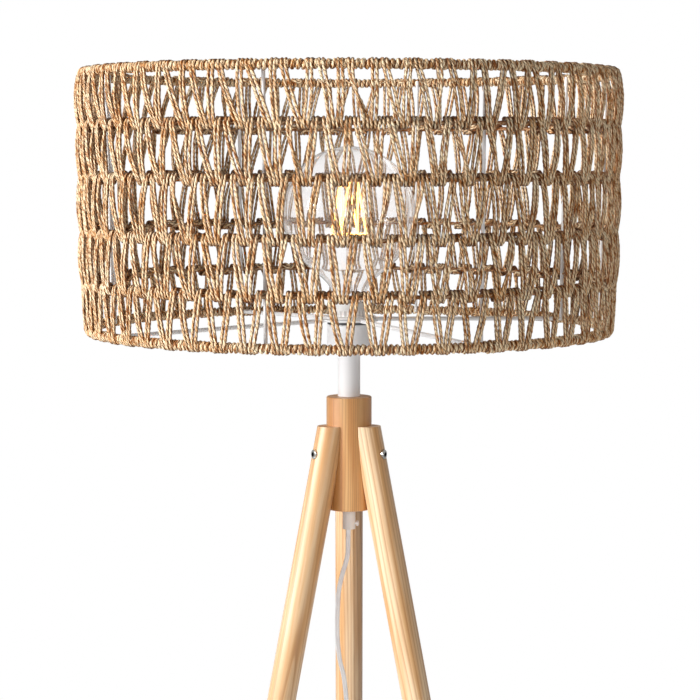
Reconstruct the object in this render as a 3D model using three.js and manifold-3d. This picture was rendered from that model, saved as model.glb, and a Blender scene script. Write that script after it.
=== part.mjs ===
// Tripod floor lamp: three round wooden legs bolted to a turned hub, a white stem with an open
// lampholder, a large clear globe bulb, and a drum shade of twisted twine woven over a wire frame.
// Millimetres, +Z up, origin on the floor under the lamp's axis, front of the lamp towards -Y.

import * as THREE from 'three';
import { mergeVertices } from 'three/addons/utils/BufferGeometryUtils.js';
import Module from 'manifold-3d';

const wasm = await Module();
wasm.setup();

// Clearances shared by all pieces
const fit = 0.3; // gap between neighbours that touch on the real lamp
const overrun = 2; // how far a cutting shape passes the face that it cuts
const mergeDistance = 0.001; // corners nearer than this are one corner

// Hub: a turned block of wood that holds the legs below and the stem above
const hubBottomHeight = 960.1;
const hubLength = 106.9;
const hubDiameter = 42.6;
const hubChamfer = 0.6;
const hubBoreDiameter = 10.6;
const hubNutRecessDiameter = 19;
const hubNutRecessDepth = 6;

// Legs: straight dowels, hollowed on the inner side to sit against the hub
const legDiameter = 26.5;
const legTopDrop = 27; // from the hub's top down to the legs' cut tops
const legTopRadius = 18.8; // from the lamp's axis to the dowel's centreline at its top
const legSplayDegrees = 12;
const legDegrees = { leg_front_left: 210, leg_front_right: 330, leg_rear: 90 };

// Leg bolts, their brass inserts in the hub, and the felt pads under the feet
const boltDrop = 25.8; // from the legs' tops down to the bolts
const boltShankDiameter = 5;
const boltHeadDiameter = 9;
const boltHeadThickness = 3;
const boltHeadCrown = 0.7;
const boltHeadStandout = 1.4; // how far a head stands out of the leg's surface
const boltSocketAcrossCorners = 4.6;
const boltSocketDepth = 1.8;
const boltHoleClearance = 0.4;
const insertOuterDiameter = 8;
const insertLength = 12;
const insertDepth = 0.6; // below the hub's surface
const padDiameter = 23;
const padThickness = 3;

// Stem and the hollow threaded rod that clamps the cup, the stem and the hub together
const stemLength = 43.6;
const stemDiameter = 21;
const stemWall = 1;
const rodDiameter = 10;
const rodBore = 7.2;
const rodBelowHub = 8.5;
const nutAcrossCorners = 16.6;
const nutThickness = 4;

// Cord grip under the hub, with its clamp screw on the right
const gripDiameter = 12;
const gripLength = 18.2;
const gripDrop = 1.2; // the dark gap between the hub and the grip
const gripBore = 6;
const gripThreadDepth = 7.6;
const gripRingHeight = 1.9; // of the rings turned into its upper half
const gripRingDepth = 0.17;
const gripScrewRise = 5.2; // above the grip's lower end
const gripScrewHeadDiameter = 5.2;
const gripScrewStandoff = 0.9; // between the grip and the screw's head
const gripScrewHeadThickness = 2.4;
const gripScrewCrown = 0.8;
const gripScrewShankDiameter = 2.4;

// Socket cup and the lampholder in it
const cupDiameter = 41;
const cupHeight = 24;
const cupWall = 1.5;
const cupFloor = 2;
const cupCornerRadius = 3;
const cupCornerDegrees = [90, 60, 30, 0];
const holderOuterDiameter = 31;
const holderWall = 1.5;
const holderHeight = 41.9;
const holderLedgeHeight = 6.1;
const holderLedgeWidth = 2;
const holderBaseThickness = 5;
const shellHeight = 24;
const shellWall = 0.5;
const contactWidth = 6;
const contactThickness = 0.6;
const contactRise = 3.2;

// What clamps the shade: steel washer, the frame's centre ring, and the ribbed ring nut
const washerDiameter = 40.8;
const washerThickness = 2.4;
const centreRingDiameter = 55;
const centreRingThickness = 2.2;
const nutFlangeDiameter = 50;
const nutFlangeThickness = 2.2;
const nutCollarDiameter = 34.6;
const nutCollarHeight = 7.6;
const nutRibCount = 24;
const nutRibDepth = 0.8;
const nutRibHeight = 5.7;

// Bulb: a clear globe on a screw cap
const capDiameter = 25.8;
const capHeight = 20.4;
const capInsulatorHeight = 4;
const capTipHeight = 1.8;
const capTipDiameter = 9;
const capTipEndDiameter = 4.5;
const globeDiameter = 125;
const globeCentreRise = 83.6; // above the cap's upper rim
const globeCutDegrees = 141; // where the neck leaves the sphere, measured from its top
const neckWaistDiameter = 38;
const neckWaistRise = 16;
const neckDiameter = 27;
const glassWall = 0.9;
const glassStemDiameter = 7;
const glassStemWaist = 4.7;
const glassStemFlare = 19;
const glassStemHeight = 59;
const filamentCount = 6;
const filamentDiameter = 2.2;
const filamentLength = 50;
const filamentCageDiameter = 34;
const filamentCageTopDiameter = 19.8;
const filamentCageLift = 5;
const cageWireDiameter = 1.4;

// Shade: wire rings, upright wires, four arms, twine bindings and five woven tiers
const upperRingDiameter = 491.5; // to the middle of the ring's wire
const lowerRingDiameter = 483.5;
const ringSpacing = 235.5; // from the lower ring to the upper one
const ringWireDiameter = 4;
const strutDiameter = 3.5;
const strutCount = 8;
const strutPhaseDegrees = -62; // the first strut's turn from +X, seen from above
const armCount = 4;
const armDiameter = 4;
const armDrop = 7.1; // from the arms' inner ends down to the lower ring
const bindingDiameter = 9.6;
const bindingGapDegrees = 66; // half of the slot on the binding's inner side
const bandShares = [0, 0.1847, 0.3843, 0.5966, 0.7962, 1]; // heights of the bands between the rings
const bandStandout = 6.6; // from the frame's wires out to a band's outer side
const tierStandouts = [7.4, 9.1, 9.3, 9.1, 9.6]; // the same for each tier's middle, from below
const weaveClearance = 0.7; // between the uprights and the bands
const tierWall = 4.8;
const bulgeShare = 0.16; // of a tier's height, from either band to where its bulge is full
const openingPairs = 12; // openings round a tier, by turns wide below and wide above
const barShare = 0.4; // of the openings' pitch, how much is a bar of twine
const barLeanDegrees = 1.2; // a bar's shift to either side at its two ends

// Cord: flat twin lead, hanging free from the grip to a foot switch, then wound into a coil
const cordWidth = 4.4;
const cordThickness = 2.5;
const cordSides = 8;
const hangingSteps = 60;
const floorSteps = 20;
const hangingPoints = [
  [-0.5, 0, 940.4], [-0.8, 0, 930], [-1.6, 0, 914], [-6.1, 0, 898], [-9.6, 0, 882], [-10.8, 0, 865],
  [-11.3, 0, 847], [-10.6, 0, 829], [-8.6, 0, 813], [-5.4, -0.5, 800], [-3.0, -1, 781],
  [-1.0, -2, 750], [2.5, -4, 700], [5.5, -6, 640], [5.0, -7, 570], [1.0, -6, 490], [-3.0, -4, 400],
  [-4.0, -2, 310], [-1.0, -1, 225], [3.5, -3, 150], [6.5, -10, 90], [7.6, -26, 42], [8, -48, 17],
  [8, -66, 8], [8, -79.7, 5.5],
];
const floorPoints = [
  [8, -146.3, 5.5], [8, -156, 4.6], [10, -170, 3.2], [17.5, -187, 2.6], [31, -202, 2.4],
  [49, -211.5, 2.35], [69, -214.5, 2.35], [89, -211.5, 2.35], [107, -202, 2.35], [120, -187, 2.35],
  [126, -169, 2.35], [127.6, -148, 2.35], [127.7, -120, 2.35], [127.7, -95, 2.35], [127.7, -75, 2.35],
];

// Coil: two layers that spiral in and out again, held by a tie
const coilCentre = [93.05, -70];
const coilInnerRadius = 17.5;
const coilRadialPitch = 4.9;
const coilLayerPitch = 3;
const coilTurnsPerLayer = 3;
const coilLead = 4.7; // straight end beyond the turns
const coilStepsPerTurn = 24;
const coilFlatShare = 1 / 2; // of the cord's width, how much of its section is flat in the coil
const tieTurns = [3 / 4, 2.75]; // the coil's outermost and innermost passes under the tie
const tieThickness = 0.8;
const tieWidth = 9;

// Foot switch on the cord
const switchCentre = [8, -113];
const switchLength = 66;
const switchWidth = 30;
const switchBaseHeight = 8;
const switchCoverHeight = 8.4;
const switchWall = 1.6;
const switchCornerRadius = 9;
const buttonDiameter = 21;
const buttonFlangeWidth = 1.6;
const buttonFlangeThickness = 1.5;
const buttonStandout = 4;

// Two-blade plug at the cord's end
const plugLength = 25;
const plugWidth = 21;
const plugNeckWidth = 10;
const plugTaperShares = [1 / 4, 1 / 3, 1 / 2]; // of its length, where its sides run out to full width
const plugBevel = 1.4;
const reliefLength = 24;
const reliefEndDiameter = 5.6;
const bladeLength = 17;
const bladeHeight = 6.4;
const bladeThickness = 1.5;
const bladeSpacing = 12.7;
const bladeRoot = 0.3;

// Counts of facets
const plainSides = 24;
const smallSides = 12;
const wireSides = 6;
const armSides = 8;
const shadeSides = 40;
const globeSteps = 8;
const bindingSteps = 5;
const bindingBoreSteps = 3;
const cornerSteps = 4;
const degree = Math.PI / 180;

// Heights and radii that follow from the sizes above
const hubTop = hubBottomHeight + hubLength;
const legTop = hubTop - legTopDrop;
const legFoot = padThickness + fit;
const splayRun = Math.tan(legSplayDegrees * degree);
const legFootRadius = legTopRadius + (legTop - legFoot) * splayRun;
const boltHeight = legTop - boltDrop;
const legHalfWidth = legDiameter / 2 / Math.cos(legSplayDegrees * degree); // level, along the splay
const legSurfaceAtBolt = legTopRadius + boltDrop * splayRun + legHalfWidth;
const boltHeadOuter = legSurfaceAtBolt + boltHeadStandout;
const boltHeadSeat = boltHeadOuter - boltHeadThickness;
const insertOuterEnd = hubDiameter / 2 - insertDepth;
const insertInnerEnd = insertOuterEnd - insertLength;
const cupBottom = hubTop + fit + stemLength + fit;
const cupTop = cupBottom + cupHeight;
const cupFloorTop = cupBottom + cupFloor;
const holderBottom = cupFloorTop + fit;
const holderTop = holderBottom + holderHeight;
const holderLedge = holderBottom + holderLedgeHeight;
const holderBaseTop = holderLedge + fit + holderBaseThickness;
const holderBoreRadius = holderOuterDiameter / 2 - holderWall;
const rodTop = holderLedge - holderLedgeWidth;
const shellBottom = holderBaseTop + fit;
const washerBottom = cupTop + fit;
const centreRingBottom = washerBottom + washerThickness + fit;
const nutBottom = centreRingBottom + centreRingThickness + fit;
const capTipBottom = shellBottom + contactRise + fit;
const capInsulatorBottom = capTipBottom + capTipHeight + fit;
const capBottom = capInsulatorBottom + capInsulatorHeight + fit;
const capTop = capBottom + capHeight;
const glassBottom = capTop + fit;
const globeCentre = capTop + globeCentreRise;
const armHeight = centreRingBottom + centreRingThickness / 2;
const lowerRingHeight = armHeight - armDrop;
const upperRingHeight = lowerRingHeight + ringSpacing;
const strutInset = ringWireDiameter / 2 + fit + strutDiameter / 2;
const gripTop = hubBottomHeight - gripDrop;
const gripBottom = gripTop - gripLength;
const rodBottom = hubBottomHeight - rodBelowHub;
const coilLayerHeight = tieThickness + fit + cordThickness / 2;
const coilOuterRadius = coilInnerRadius + (coilTurnsPerLayer + 1 / 2) * coilRadialPitch;
const secondLayerHeight = coilLayerHeight + coilLayerPitch;

// Materials
function finish(color, roughness, metalness = 0) {
  return new THREE.MeshStandardMaterial({ color, roughness, metalness });
}
const pine = finish(0xe8c791, 0.55);
const twine = finish(0xb8935f, 0.85);
const whiteMetal = finish(0xf2f1ee, 0.4);
const whitePlastic = finish(0xf0efec, 0.45);
const steel = finish(0x8f9194, 0.35, 1);
const brass = finish(0xc9a455, 0.35, 1);
const nickel = finish(0xd5d5d3, 0.28, 1);
const blackGlass = finish(0x1b1b1d, 0.25);
const felt = finish(0x6b5a48, 0.95);
const glass = finish(0xf4f7f7, 0.05);
glass.transparent = true;
glass.opacity = 0.3;
const filament = finish(0xffc36a, 0.5);
filament.emissive.set(0xff9a2e);

// Shared corners are merged, triangles without area dropped, and faces turned outwards
function closed(geometry) {
  const bare = geometry.index ? geometry.clone() : mergeVertices(geometry);
  for (const name of Object.keys(bare.attributes)) {
    if (name !== 'position') bare.deleteAttribute(name);
  }
  const merged = mergeVertices(bare, mergeDistance);
  const kept = [];
  const index = merged.index.array;
  for (let i = 0; i < index.length; i += 3) {
    const [a, b, c] = [index[i], index[i + 1], index[i + 2]];
    if (a !== b && b !== c && c !== a) kept.push(a, b, c);
  }
  merged.setIndex(kept);
  if (volume(merged) < 0) {
    for (let i = 0; i < kept.length; i += 3) {
      [kept[i + 1], kept[i + 2]] = [kept[i + 2], kept[i + 1]];
    }
    merged.setIndex(kept);
  }
  merged.computeVertexNormals();
  return merged;
}

function volume(geometry) {
  const points = geometry.attributes.position;
  const index = geometry.index.array;
  const [a, b, c] = [new THREE.Vector3(), new THREE.Vector3(), new THREE.Vector3()];
  let sum = 0;
  for (let i = 0; i < index.length; i += 3) {
    a.fromBufferAttribute(points, index[i]);
    b.fromBufferAttribute(points, index[i + 1]);
    c.fromBufferAttribute(points, index[i + 2]);
    sum += a.dot(b.cross(c));
  }
  return sum / 6;
}

function toSolid(geometry) {
  const shape = closed(geometry);
  return new wasm.Manifold(new wasm.Mesh({
    numProp: 3,
    vertProperties: new Float32Array(shape.attributes.position.array),
    triVerts: new Uint32Array(shape.index.array),
  }));
}

function fromSolid(solid) {
  const mesh = solid.getMesh();
  const geometry = new THREE.BufferGeometry();
  const points = new Float32Array(mesh.vertProperties);
  geometry.setAttribute('position', new THREE.BufferAttribute(points, 3));
  geometry.setIndex(Array.from(mesh.triVerts));
  return closed(geometry);
}

function cut(geometry, ...tools) {
  return fromSolid(tools.reduce((solid, tool) => solid.subtract(toSolid(tool)), toSolid(geometry)));
}

function join(geometry, ...others) {
  return fromSolid(others.reduce((solid, other) => solid.add(toSolid(other)), toSolid(geometry)));
}

// A profile of [radius, height] points turned about Z
function turned(profile, sides = plainSides) {
  const points = profile.map(([radius, height]) => new THREE.Vector2(radius, height));
  return closed(new THREE.LatheGeometry(points, sides).rotateX(Math.PI / 2));
}

function ringOf(innerRadius, outerRadius, low, high, sides = plainSides) {
  const [near, far] = [innerRadius, outerRadius];
  return turned([[near, low], [far, low], [far, high], [near, high], [near, low]], sides);
}

// A round bar along Z from low to high
function bar(radius, low, high, sides = smallSides) {
  const round = new THREE.CylinderGeometry(radius, radius, high - low, sides);
  return round.rotateX(Math.PI / 2).translate(0, 0, (low + high) / 2);
}

// A round bar between two points
function barBetween(from, to, radius, sides = wireSides) {
  const [a, b] = [new THREE.Vector3(...from), new THREE.Vector3(...to)];
  const along = b.clone().sub(a);
  const turn = new THREE.Quaternion();
  turn.setFromUnitVectors(new THREE.Vector3(0, 1, 0), along.clone().normalize());
  const middle = a.clone().lerp(b, 1 / 2);
  const round = new THREE.CylinderGeometry(radius, radius, along.length(), sides);
  return round.applyQuaternion(turn).translate(middle.x, middle.y, middle.z);
}

// A bar or turned shape made along Z is laid along +X at a given height
function laidAlongX(geometry, height) {
  return geometry.rotateY(Math.PI / 2).translate(0, 0, height);
}

const lamp = new THREE.Group();
const shade = new THREE.Group();
shade.rotation.z = strutPhaseDegrees * degree;
lamp.add(shade);

function place(name, geometry, material, parent = lamp) {
  const mesh = new THREE.Mesh(closed(geometry), material);
  mesh.name = name;
  parent.add(mesh);
  return mesh;
}

function makeHub() {
  const [outer, bore, recess] = [hubDiameter / 2, hubBoreDiameter / 2, hubNutRecessDiameter / 2];
  const recessTop = hubBottomHeight + hubNutRecessDepth;
  const body = turned([
    [recess, hubBottomHeight], [outer - hubChamfer, hubBottomHeight], [outer, hubBottomHeight + hubChamfer],
    [outer, hubTop - hubChamfer], [outer - hubChamfer, hubTop], [bore, hubTop],
    [bore, recessTop], [recess, recessTop], [recess, hubBottomHeight],
  ]);
  const holeRadius = insertOuterDiameter / 2 + fit;
  const holes = Object.values(legDegrees).map((degrees) => {
    const hole = bar(holeRadius, insertInnerEnd - fit, outer + overrun);
    return laidAlongX(hole, boltHeight).rotateZ(degrees * degree);
  });
  place('hub', cut(body, ...holes), pine);
}

// One leg is made in the XZ plane, leaning out towards +X, and turned to its place
function legShape() {
  const length = 2 * (legTop - legFoot);
  const dowel = new THREE.CylinderGeometry(legDiameter / 2, legDiameter / 2, length, plainSides)
    .rotateX(Math.PI / 2)
    .rotateY(-legSplayDegrees * degree)
    .translate((legTopRadius + legFootRadius) / 2, 0, (legTop + legFoot) / 2);
  const reach = 2 * (legFootRadius + legDiameter);
  const slab = new THREE.BoxGeometry(reach, reach, legTop - legFoot);
  slab.translate(0, 0, (legTop + legFoot) / 2);
  const sawn = fromSolid(toSolid(dowel).intersect(toSolid(slab)));
  const roomRadius = (hubDiameter / 2 + fit) / Math.cos(Math.PI / plainSides);
  const hubRoom = bar(roomRadius, hubBottomHeight - legDiameter, legTop + overrun, plainSides);
  const [shankRadius, headRadius] = [boltShankDiameter / 2, boltHeadDiameter / 2];
  const shankHole = bar(shankRadius + boltHoleClearance, 0, boltHeadOuter + overrun);
  const headHole = bar(headRadius + boltHoleClearance, boltHeadSeat - fit, boltHeadOuter + legDiameter);
  return cut(sawn, hubRoom, laidAlongX(shankHole, boltHeight), laidAlongX(headHole, boltHeight));
}

function boltShape() {
  const [shank, head] = [boltShankDiameter / 2, boltHeadDiameter / 2];
  const tip = insertInnerEnd + insertDepth;
  const body = turned([
    [0, tip], [shank, tip], [shank, boltHeadSeat], [head, boltHeadSeat],
    [head, boltHeadOuter - boltHeadCrown], [head - 2 * boltHeadCrown, boltHeadOuter], [0, boltHeadOuter],
  ], smallSides);
  const socketRadius = boltSocketAcrossCorners / 2;
  const socketEnd = boltHeadOuter - boltSocketDepth;
  const socket = bar(socketRadius, socketEnd, boltHeadOuter + overrun, wireSides);
  return laidAlongX(cut(body, socket), boltHeight);
}

function makeLegs() {
  const [bore, outer] = [boltShankDiameter / 2 + fit, insertOuterDiameter / 2];
  const insert = ringOf(bore, outer, insertInnerEnd, insertOuterEnd, smallSides);
  const insertShape = laidAlongX(insert, boltHeight);
  const padShape = bar(padDiameter / 2, 0, padThickness, plainSides).translate(legFootRadius, 0, 0);
  for (const [name, degrees] of Object.entries(legDegrees)) {
    const side = name.replace('leg_', '');
    const pieces = [
      place(name, legShape(), pine),
      place(`leg_bolt_${side}`, boltShape(), nickel),
      place(`hub_insert_${side}`, insertShape, brass),
      place(`foot_pad_${side}`, padShape, felt),
    ];
    for (const piece of pieces) piece.rotation.z = degrees * degree;
  }
}

function makeStem() {
  const [outer, rod] = [stemDiameter / 2, rodDiameter / 2];
  place('stem_tube', ringOf(outer - stemWall, outer, hubTop + fit, cupBottom - fit), whiteMetal);
  place('threaded_rod', ringOf(rodBore / 2, rod, rodBottom, rodTop, smallSides), steel);
  const nutTop = hubBottomHeight + hubNutRecessDepth - fit;
  const nutLow = nutTop - nutThickness;
  const nut = bar(nutAcrossCorners / 2, nutLow, nutTop, wireSides);
  const nutBore = bar(rod + fit, nutLow - overrun, nutTop + overrun);
  place('hub_lock_nut', cut(nut, nutBore), steel);
}

function makeCordGrip() {
  const [outer, bore, thread] = [gripDiameter / 2, gripBore / 2, rodDiameter / 2 + fit];
  const ledge = gripTop - gripThreadDepth;
  const screwHeight = gripBottom + gripScrewRise;
  const [step, groove] = [gripRingHeight, gripRingDepth];
  const body = turned([
    [bore, gripBottom], [outer - groove, gripBottom], [outer, gripBottom + groove], [outer, ledge],
    [outer - groove, ledge + step / 2], [outer - groove, ledge + step], [outer, ledge + step],
    [outer, gripTop - step], [outer - groove, gripTop], [thread, gripTop], [thread, ledge],
    [bore, ledge], [bore, gripBottom],
  ]);
  const screwHole = laidAlongX(bar(gripScrewShankDiameter / 2 + fit, 0, outer + overrun), screwHeight);
  place('cord_grip', cut(body, screwHole), whitePlastic);
  const [shank, head] = [gripScrewShankDiameter / 2, gripScrewHeadDiameter / 2];
  const headBottom = outer + gripScrewStandoff;
  const headTop = headBottom + gripScrewHeadThickness;
  const tip = cordWidth / 2 + fit;
  const screw = turned([
    [0, tip], [shank, tip], [shank, headBottom], [head, headBottom],
    [head, headTop - gripScrewCrown], [head - gripScrewCrown, headTop], [0, headTop],
  ], smallSides);
  place('grip_screw', laidAlongX(screw, screwHeight), whiteMetal);
}

function makeSocketCup() {
  const [outer, rodHole] = [cupDiameter / 2, rodDiameter / 2 + fit];
  const inner = outer - cupWall;
  const corner = cupCornerDegrees.map((degrees) => [
    outer - cupCornerRadius + cupCornerRadius * Math.cos(degrees * degree),
    cupBottom + cupCornerRadius - cupCornerRadius * Math.sin(degrees * degree),
  ]);
  place('socket_cup', turned([
    [rodHole, cupBottom], ...corner, [outer, cupTop], [inner, cupTop], [inner, cupFloorTop + cupFloor],
    [inner - cupFloor, cupFloorTop], [rodHole, cupFloorTop], [rodHole, cupBottom],
  ]), whiteMetal);
}

function makeLampholder() {
  const outer = holderOuterDiameter / 2;
  const ledgeRadius = holderBoreRadius - holderLedgeWidth;
  place('lampholder_body', turned([
    [ledgeRadius, holderBottom], [outer, holderBottom], [outer, holderTop], [holderBoreRadius, holderTop],
    [holderBoreRadius, holderLedge], [ledgeRadius, holderLedge], [ledgeRadius, holderBottom],
  ]), whitePlastic);
  const shellOuter = holderBoreRadius - fit;
  const base = bar(shellOuter, holderLedge + fit, holderBaseTop, plainSides);
  place('lampholder_base', base, whitePlastic);
  const shellTop = shellBottom + shellHeight;
  place('screw_shell', ringOf(shellOuter - shellWall, shellOuter, shellBottom, shellTop), brass);
  place('centre_contact', contactShape(), brass);
  place('inner_lead', flatBar(cordWidth, cordThickness, gripBottom + fit, holderLedge), whitePlastic);
}

// A springy strip that rises to touch the bulb's tip
function contactShape() {
  const strip = new THREE.Shape();
  const [half, low] = [contactWidth / 2, shellBottom];
  const top = low + contactRise;
  strip.moveTo(-contactWidth, low);
  strip.lineTo(half, low);
  strip.lineTo(half, low + contactThickness);
  strip.lineTo(-half, low + contactThickness);
  strip.lineTo(0, top - contactThickness);
  strip.lineTo(half, top - contactThickness);
  strip.lineTo(half, top);
  strip.lineTo(-half / 2, top);
  strip.lineTo(-contactWidth, low + contactThickness);
  const contact = new THREE.ExtrudeGeometry(strip, { depth: contactWidth, bevelEnabled: false });
  return contact.rotateX(Math.PI / 2).translate(0, contactWidth / 2, 0);
}

// A bar with the cord's flat section, along Z
function flatBar(width, thickness, low, high) {
  const section = cordSection(width, thickness);
  const bare = new THREE.ExtrudeGeometry(section, { depth: high - low, bevelEnabled: false });
  return bare.translate(0, 0, low);
}

function makeShadeClamp() {
  const inner = holderOuterDiameter / 2 + fit;
  const washer = ringOf(inner, washerDiameter / 2, washerBottom, washerBottom + washerThickness);
  place('seat_washer', washer, steel);
  const [flangeTop, flange] = [nutBottom + nutFlangeThickness, nutFlangeDiameter / 2];
  const [collarTop, collar] = [flangeTop + nutCollarHeight, nutCollarDiameter / 2 - nutRibDepth];
  const body = turned([
    [inner, nutBottom], [flange, nutBottom], [flange, flangeTop], [collar, flangeTop],
    [collar, collarTop], [inner, collarTop], [inner, nutBottom],
  ]);
  const ribs = new THREE.Shape();
  const toothCount = 2 * nutRibCount;
  for (let i = 0; i < toothCount; i += 1) {
    const radius = nutCollarDiameter / 2 - (i % 2 ? nutRibDepth : 0);
    const angle = (i * 2 * Math.PI) / toothCount;
    ribs[i ? 'lineTo' : 'moveTo'](radius * Math.cos(angle), radius * Math.sin(angle));
  }
  const hole = new THREE.Path();
  hole.absarc(0, 0, (inner + collar) / 2, 0, 2 * Math.PI, true);
  ribs.holes.push(hole);
  const options = { depth: nutRibHeight, bevelEnabled: false, curveSegments: smallSides };
  const ribbed = new THREE.ExtrudeGeometry(ribs, options);
  place('shade_ring_nut', join(body, ribbed.translate(0, 0, flangeTop - fit)), whitePlastic);
}

function makeBulb() {
  const capRadius = capDiameter / 2;
  const insulatorTop = capInsulatorBottom + capInsulatorHeight;
  const stemHole = glassStemFlare / 2 + fit;
  const capEnd = capRadius - glassWall;
  place('bulb_cap', turned([
    [stemHole, capBottom], [capEnd, capBottom], [capRadius, capBottom + glassWall],
    [capRadius, capTop], [stemHole, capTop], [stemHole, capBottom],
  ]), nickel);
  const [tip, tipEnd, tipTop] = [capTipDiameter / 2, capTipEndDiameter / 2, capTipBottom + capTipHeight];
  place('cap_insulator', turned([
    [0, capInsulatorBottom], [tip, capInsulatorBottom], [capEnd, insulatorTop], [0, insulatorTop],
  ], smallSides), blackGlass);
  place('cap_tip', turned([
    [0, capTipBottom], [tipEnd, capTipBottom], [tip, tipTop], [0, tipTop],
  ], smallSides), brass);
  place('bulb_glass', turned(globeProfile()), glass);
  const stemBottom = insulatorTop + fit;
  const stemTop = capTop + glassStemHeight;
  const [flare, knob, waist] = [glassStemFlare / 2, glassStemDiameter / 2, glassStemWaist / 2];
  place('glass_stem', turned([
    [0, stemBottom], [flare, stemBottom], [flare, stemBottom + knob], [knob, capTop + knob],
    [waist, stemTop - 2 * knob], [knob, stemTop - knob], [waist, stemTop], [0, stemTop],
  ], smallSides), glass);
  place('filament_cage', filamentCage(stemTop), filament);
}

// The globe's wall: a sphere that runs into a waisted neck, closed around its thickness
function globeProfile() {
  const radius = globeDiameter / 2;
  const arc = [];
  for (let i = 0; i <= globeSteps; i += 1) {
    const angle = (globeCutDegrees * degree * i) / globeSteps;
    arc.push([Math.sin(angle), Math.cos(angle)]);
  }
  const neck = [[neckWaistDiameter / 2, capTop + neckWaistRise], [neckDiameter / 2, glassBottom]];
  const sphere = (size) => arc.map(([across, up]) => [size * across, globeCentre + size * up]);
  const innerNeck = neck.map(([across, up]) => [across - glassWall, up]);
  const outer = [...sphere(radius), ...neck];
  const inner = [...sphere(radius - glassWall), ...innerNeck];
  return outer.concat(inner.reverse());
}

// Slanting filaments held between two wire rings, with a collar round the stem's knob
function filamentCage(stemTop) {
  const [ring, topRing] = [filamentCageDiameter / 2, filamentCageTopDiameter / 2];
  const wire = cageWireDiameter / 2;
  const low = stemTop + filamentCageLift;
  const high = low + filamentLength;
  const parts = [
    ringOf(ring - cageWireDiameter, ring, low - wire, low + wire, smallSides),
    ringOf(topRing - cageWireDiameter, topRing, high - wire, high + wire, smallSides),
  ];
  for (let i = 0; i < filamentCount; i += 1) {
    const angle = (i * 2 * Math.PI) / filamentCount;
    const turn = angle + Math.PI / filamentCount;
    const foot = [(ring - wire) * Math.cos(angle), (ring - wire) * Math.sin(angle), low];
    const head = [(topRing - wire) * Math.cos(turn), (topRing - wire) * Math.sin(turn), high];
    parts.push(barBetween(foot, head, filamentDiameter / 2));
    if (i % 2 === 0) parts.push(barBetween([0, 0, low], foot, wire));
  }
  const collar = bar(cageWireDiameter, stemTop + fit, low + wire, wireSides);
  return join(collar, ...parts);
}

// The radius of the frame, at the middle of its ring wires, at a share of the way up
function frameRadius(share) {
  return THREE.MathUtils.lerp(lowerRingDiameter, upperRingDiameter, share) / 2;
}

// A ring of wire with a six-sided section, at a radius and height
function wireRing(radius, height, wireRadius) {
  const profile = [];
  for (let i = 0; i <= wireSides; i += 1) {
    const angle = (i * 2 * Math.PI) / wireSides;
    profile.push([radius + wireRadius * Math.cos(angle), height + wireRadius * Math.sin(angle)]);
  }
  return turned(profile, shadeSides);
}

// The twine bound round a ring, slotted on its inner side for the uprights
function binding(radius, height) {
  const sweep = 360 - 2 * bindingGapDegrees;
  const bore = (ringWireDiameter / 2 + fit) / Math.cos((sweep * degree) / 2 / bindingBoreSteps);
  const at = (size, step, steps) => {
    const angle = (180 + bindingGapDegrees + (sweep * step) / steps) * degree;
    return [radius + size * Math.cos(angle), height + size * Math.sin(angle)];
  };
  const profile = [];
  for (let i = 0; i <= bindingSteps; i += 1) profile.push(at(bindingDiameter / 2, i, bindingSteps));
  for (let i = bindingBoreSteps; i >= 0; i -= 1) profile.push(at(bore, i, bindingBoreSteps));
  profile.push(profile[0]);
  return turned(profile, shadeSides);
}

function makeShadeFrame() {
  const rings = [['upper', upperRingHeight, frameRadius(1)], ['lower', lowerRingHeight, frameRadius(0)]];
  for (const [name, height, radius] of rings) {
    place(`shade_${name}_ring`, wireRing(radius, height, ringWireDiameter / 2), whiteMetal, shade);
    place(`${name}_binding`, binding(radius, height), twine, shade);
  }
  const [foot, head] = [frameRadius(0) - strutInset, frameRadius(1) - strutInset];
  const reach = ringWireDiameter / 2;
  const [from, to] = [[foot, 0, lowerRingHeight - reach], [head, 0, upperRingHeight + reach]];
  for (let i = 0; i < strutCount; i += 1) {
    const strut = place(`shade_strut_${i + 1}`, barBetween(from, to, strutDiameter / 2), whiteMetal, shade);
    strut.rotation.z = (i * 2 * Math.PI) / strutCount;
  }
  const inner = holderOuterDiameter / 2 + fit;
  const armStart = nutFlangeDiameter / 2 + 2 * fit;
  const armEnd = foot - strutDiameter / 2 - fit;
  const centreRingTop = centreRingBottom + centreRingThickness;
  const centreRing = ringOf(inner, centreRingDiameter / 2, centreRingBottom, centreRingTop);
  const arms = [];
  for (let i = 0; i < armCount; i += 1) {
    const arm = barBetween([armStart, 0, armHeight], [armEnd, 0, lowerRingHeight], armDiameter / 2, armSides);
    arms.push(arm.rotateZ((i * 2 * Math.PI) / armCount));
  }
  place('shade_spider', join(centreRing, ...arms), whiteMetal, shade);
}

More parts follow.
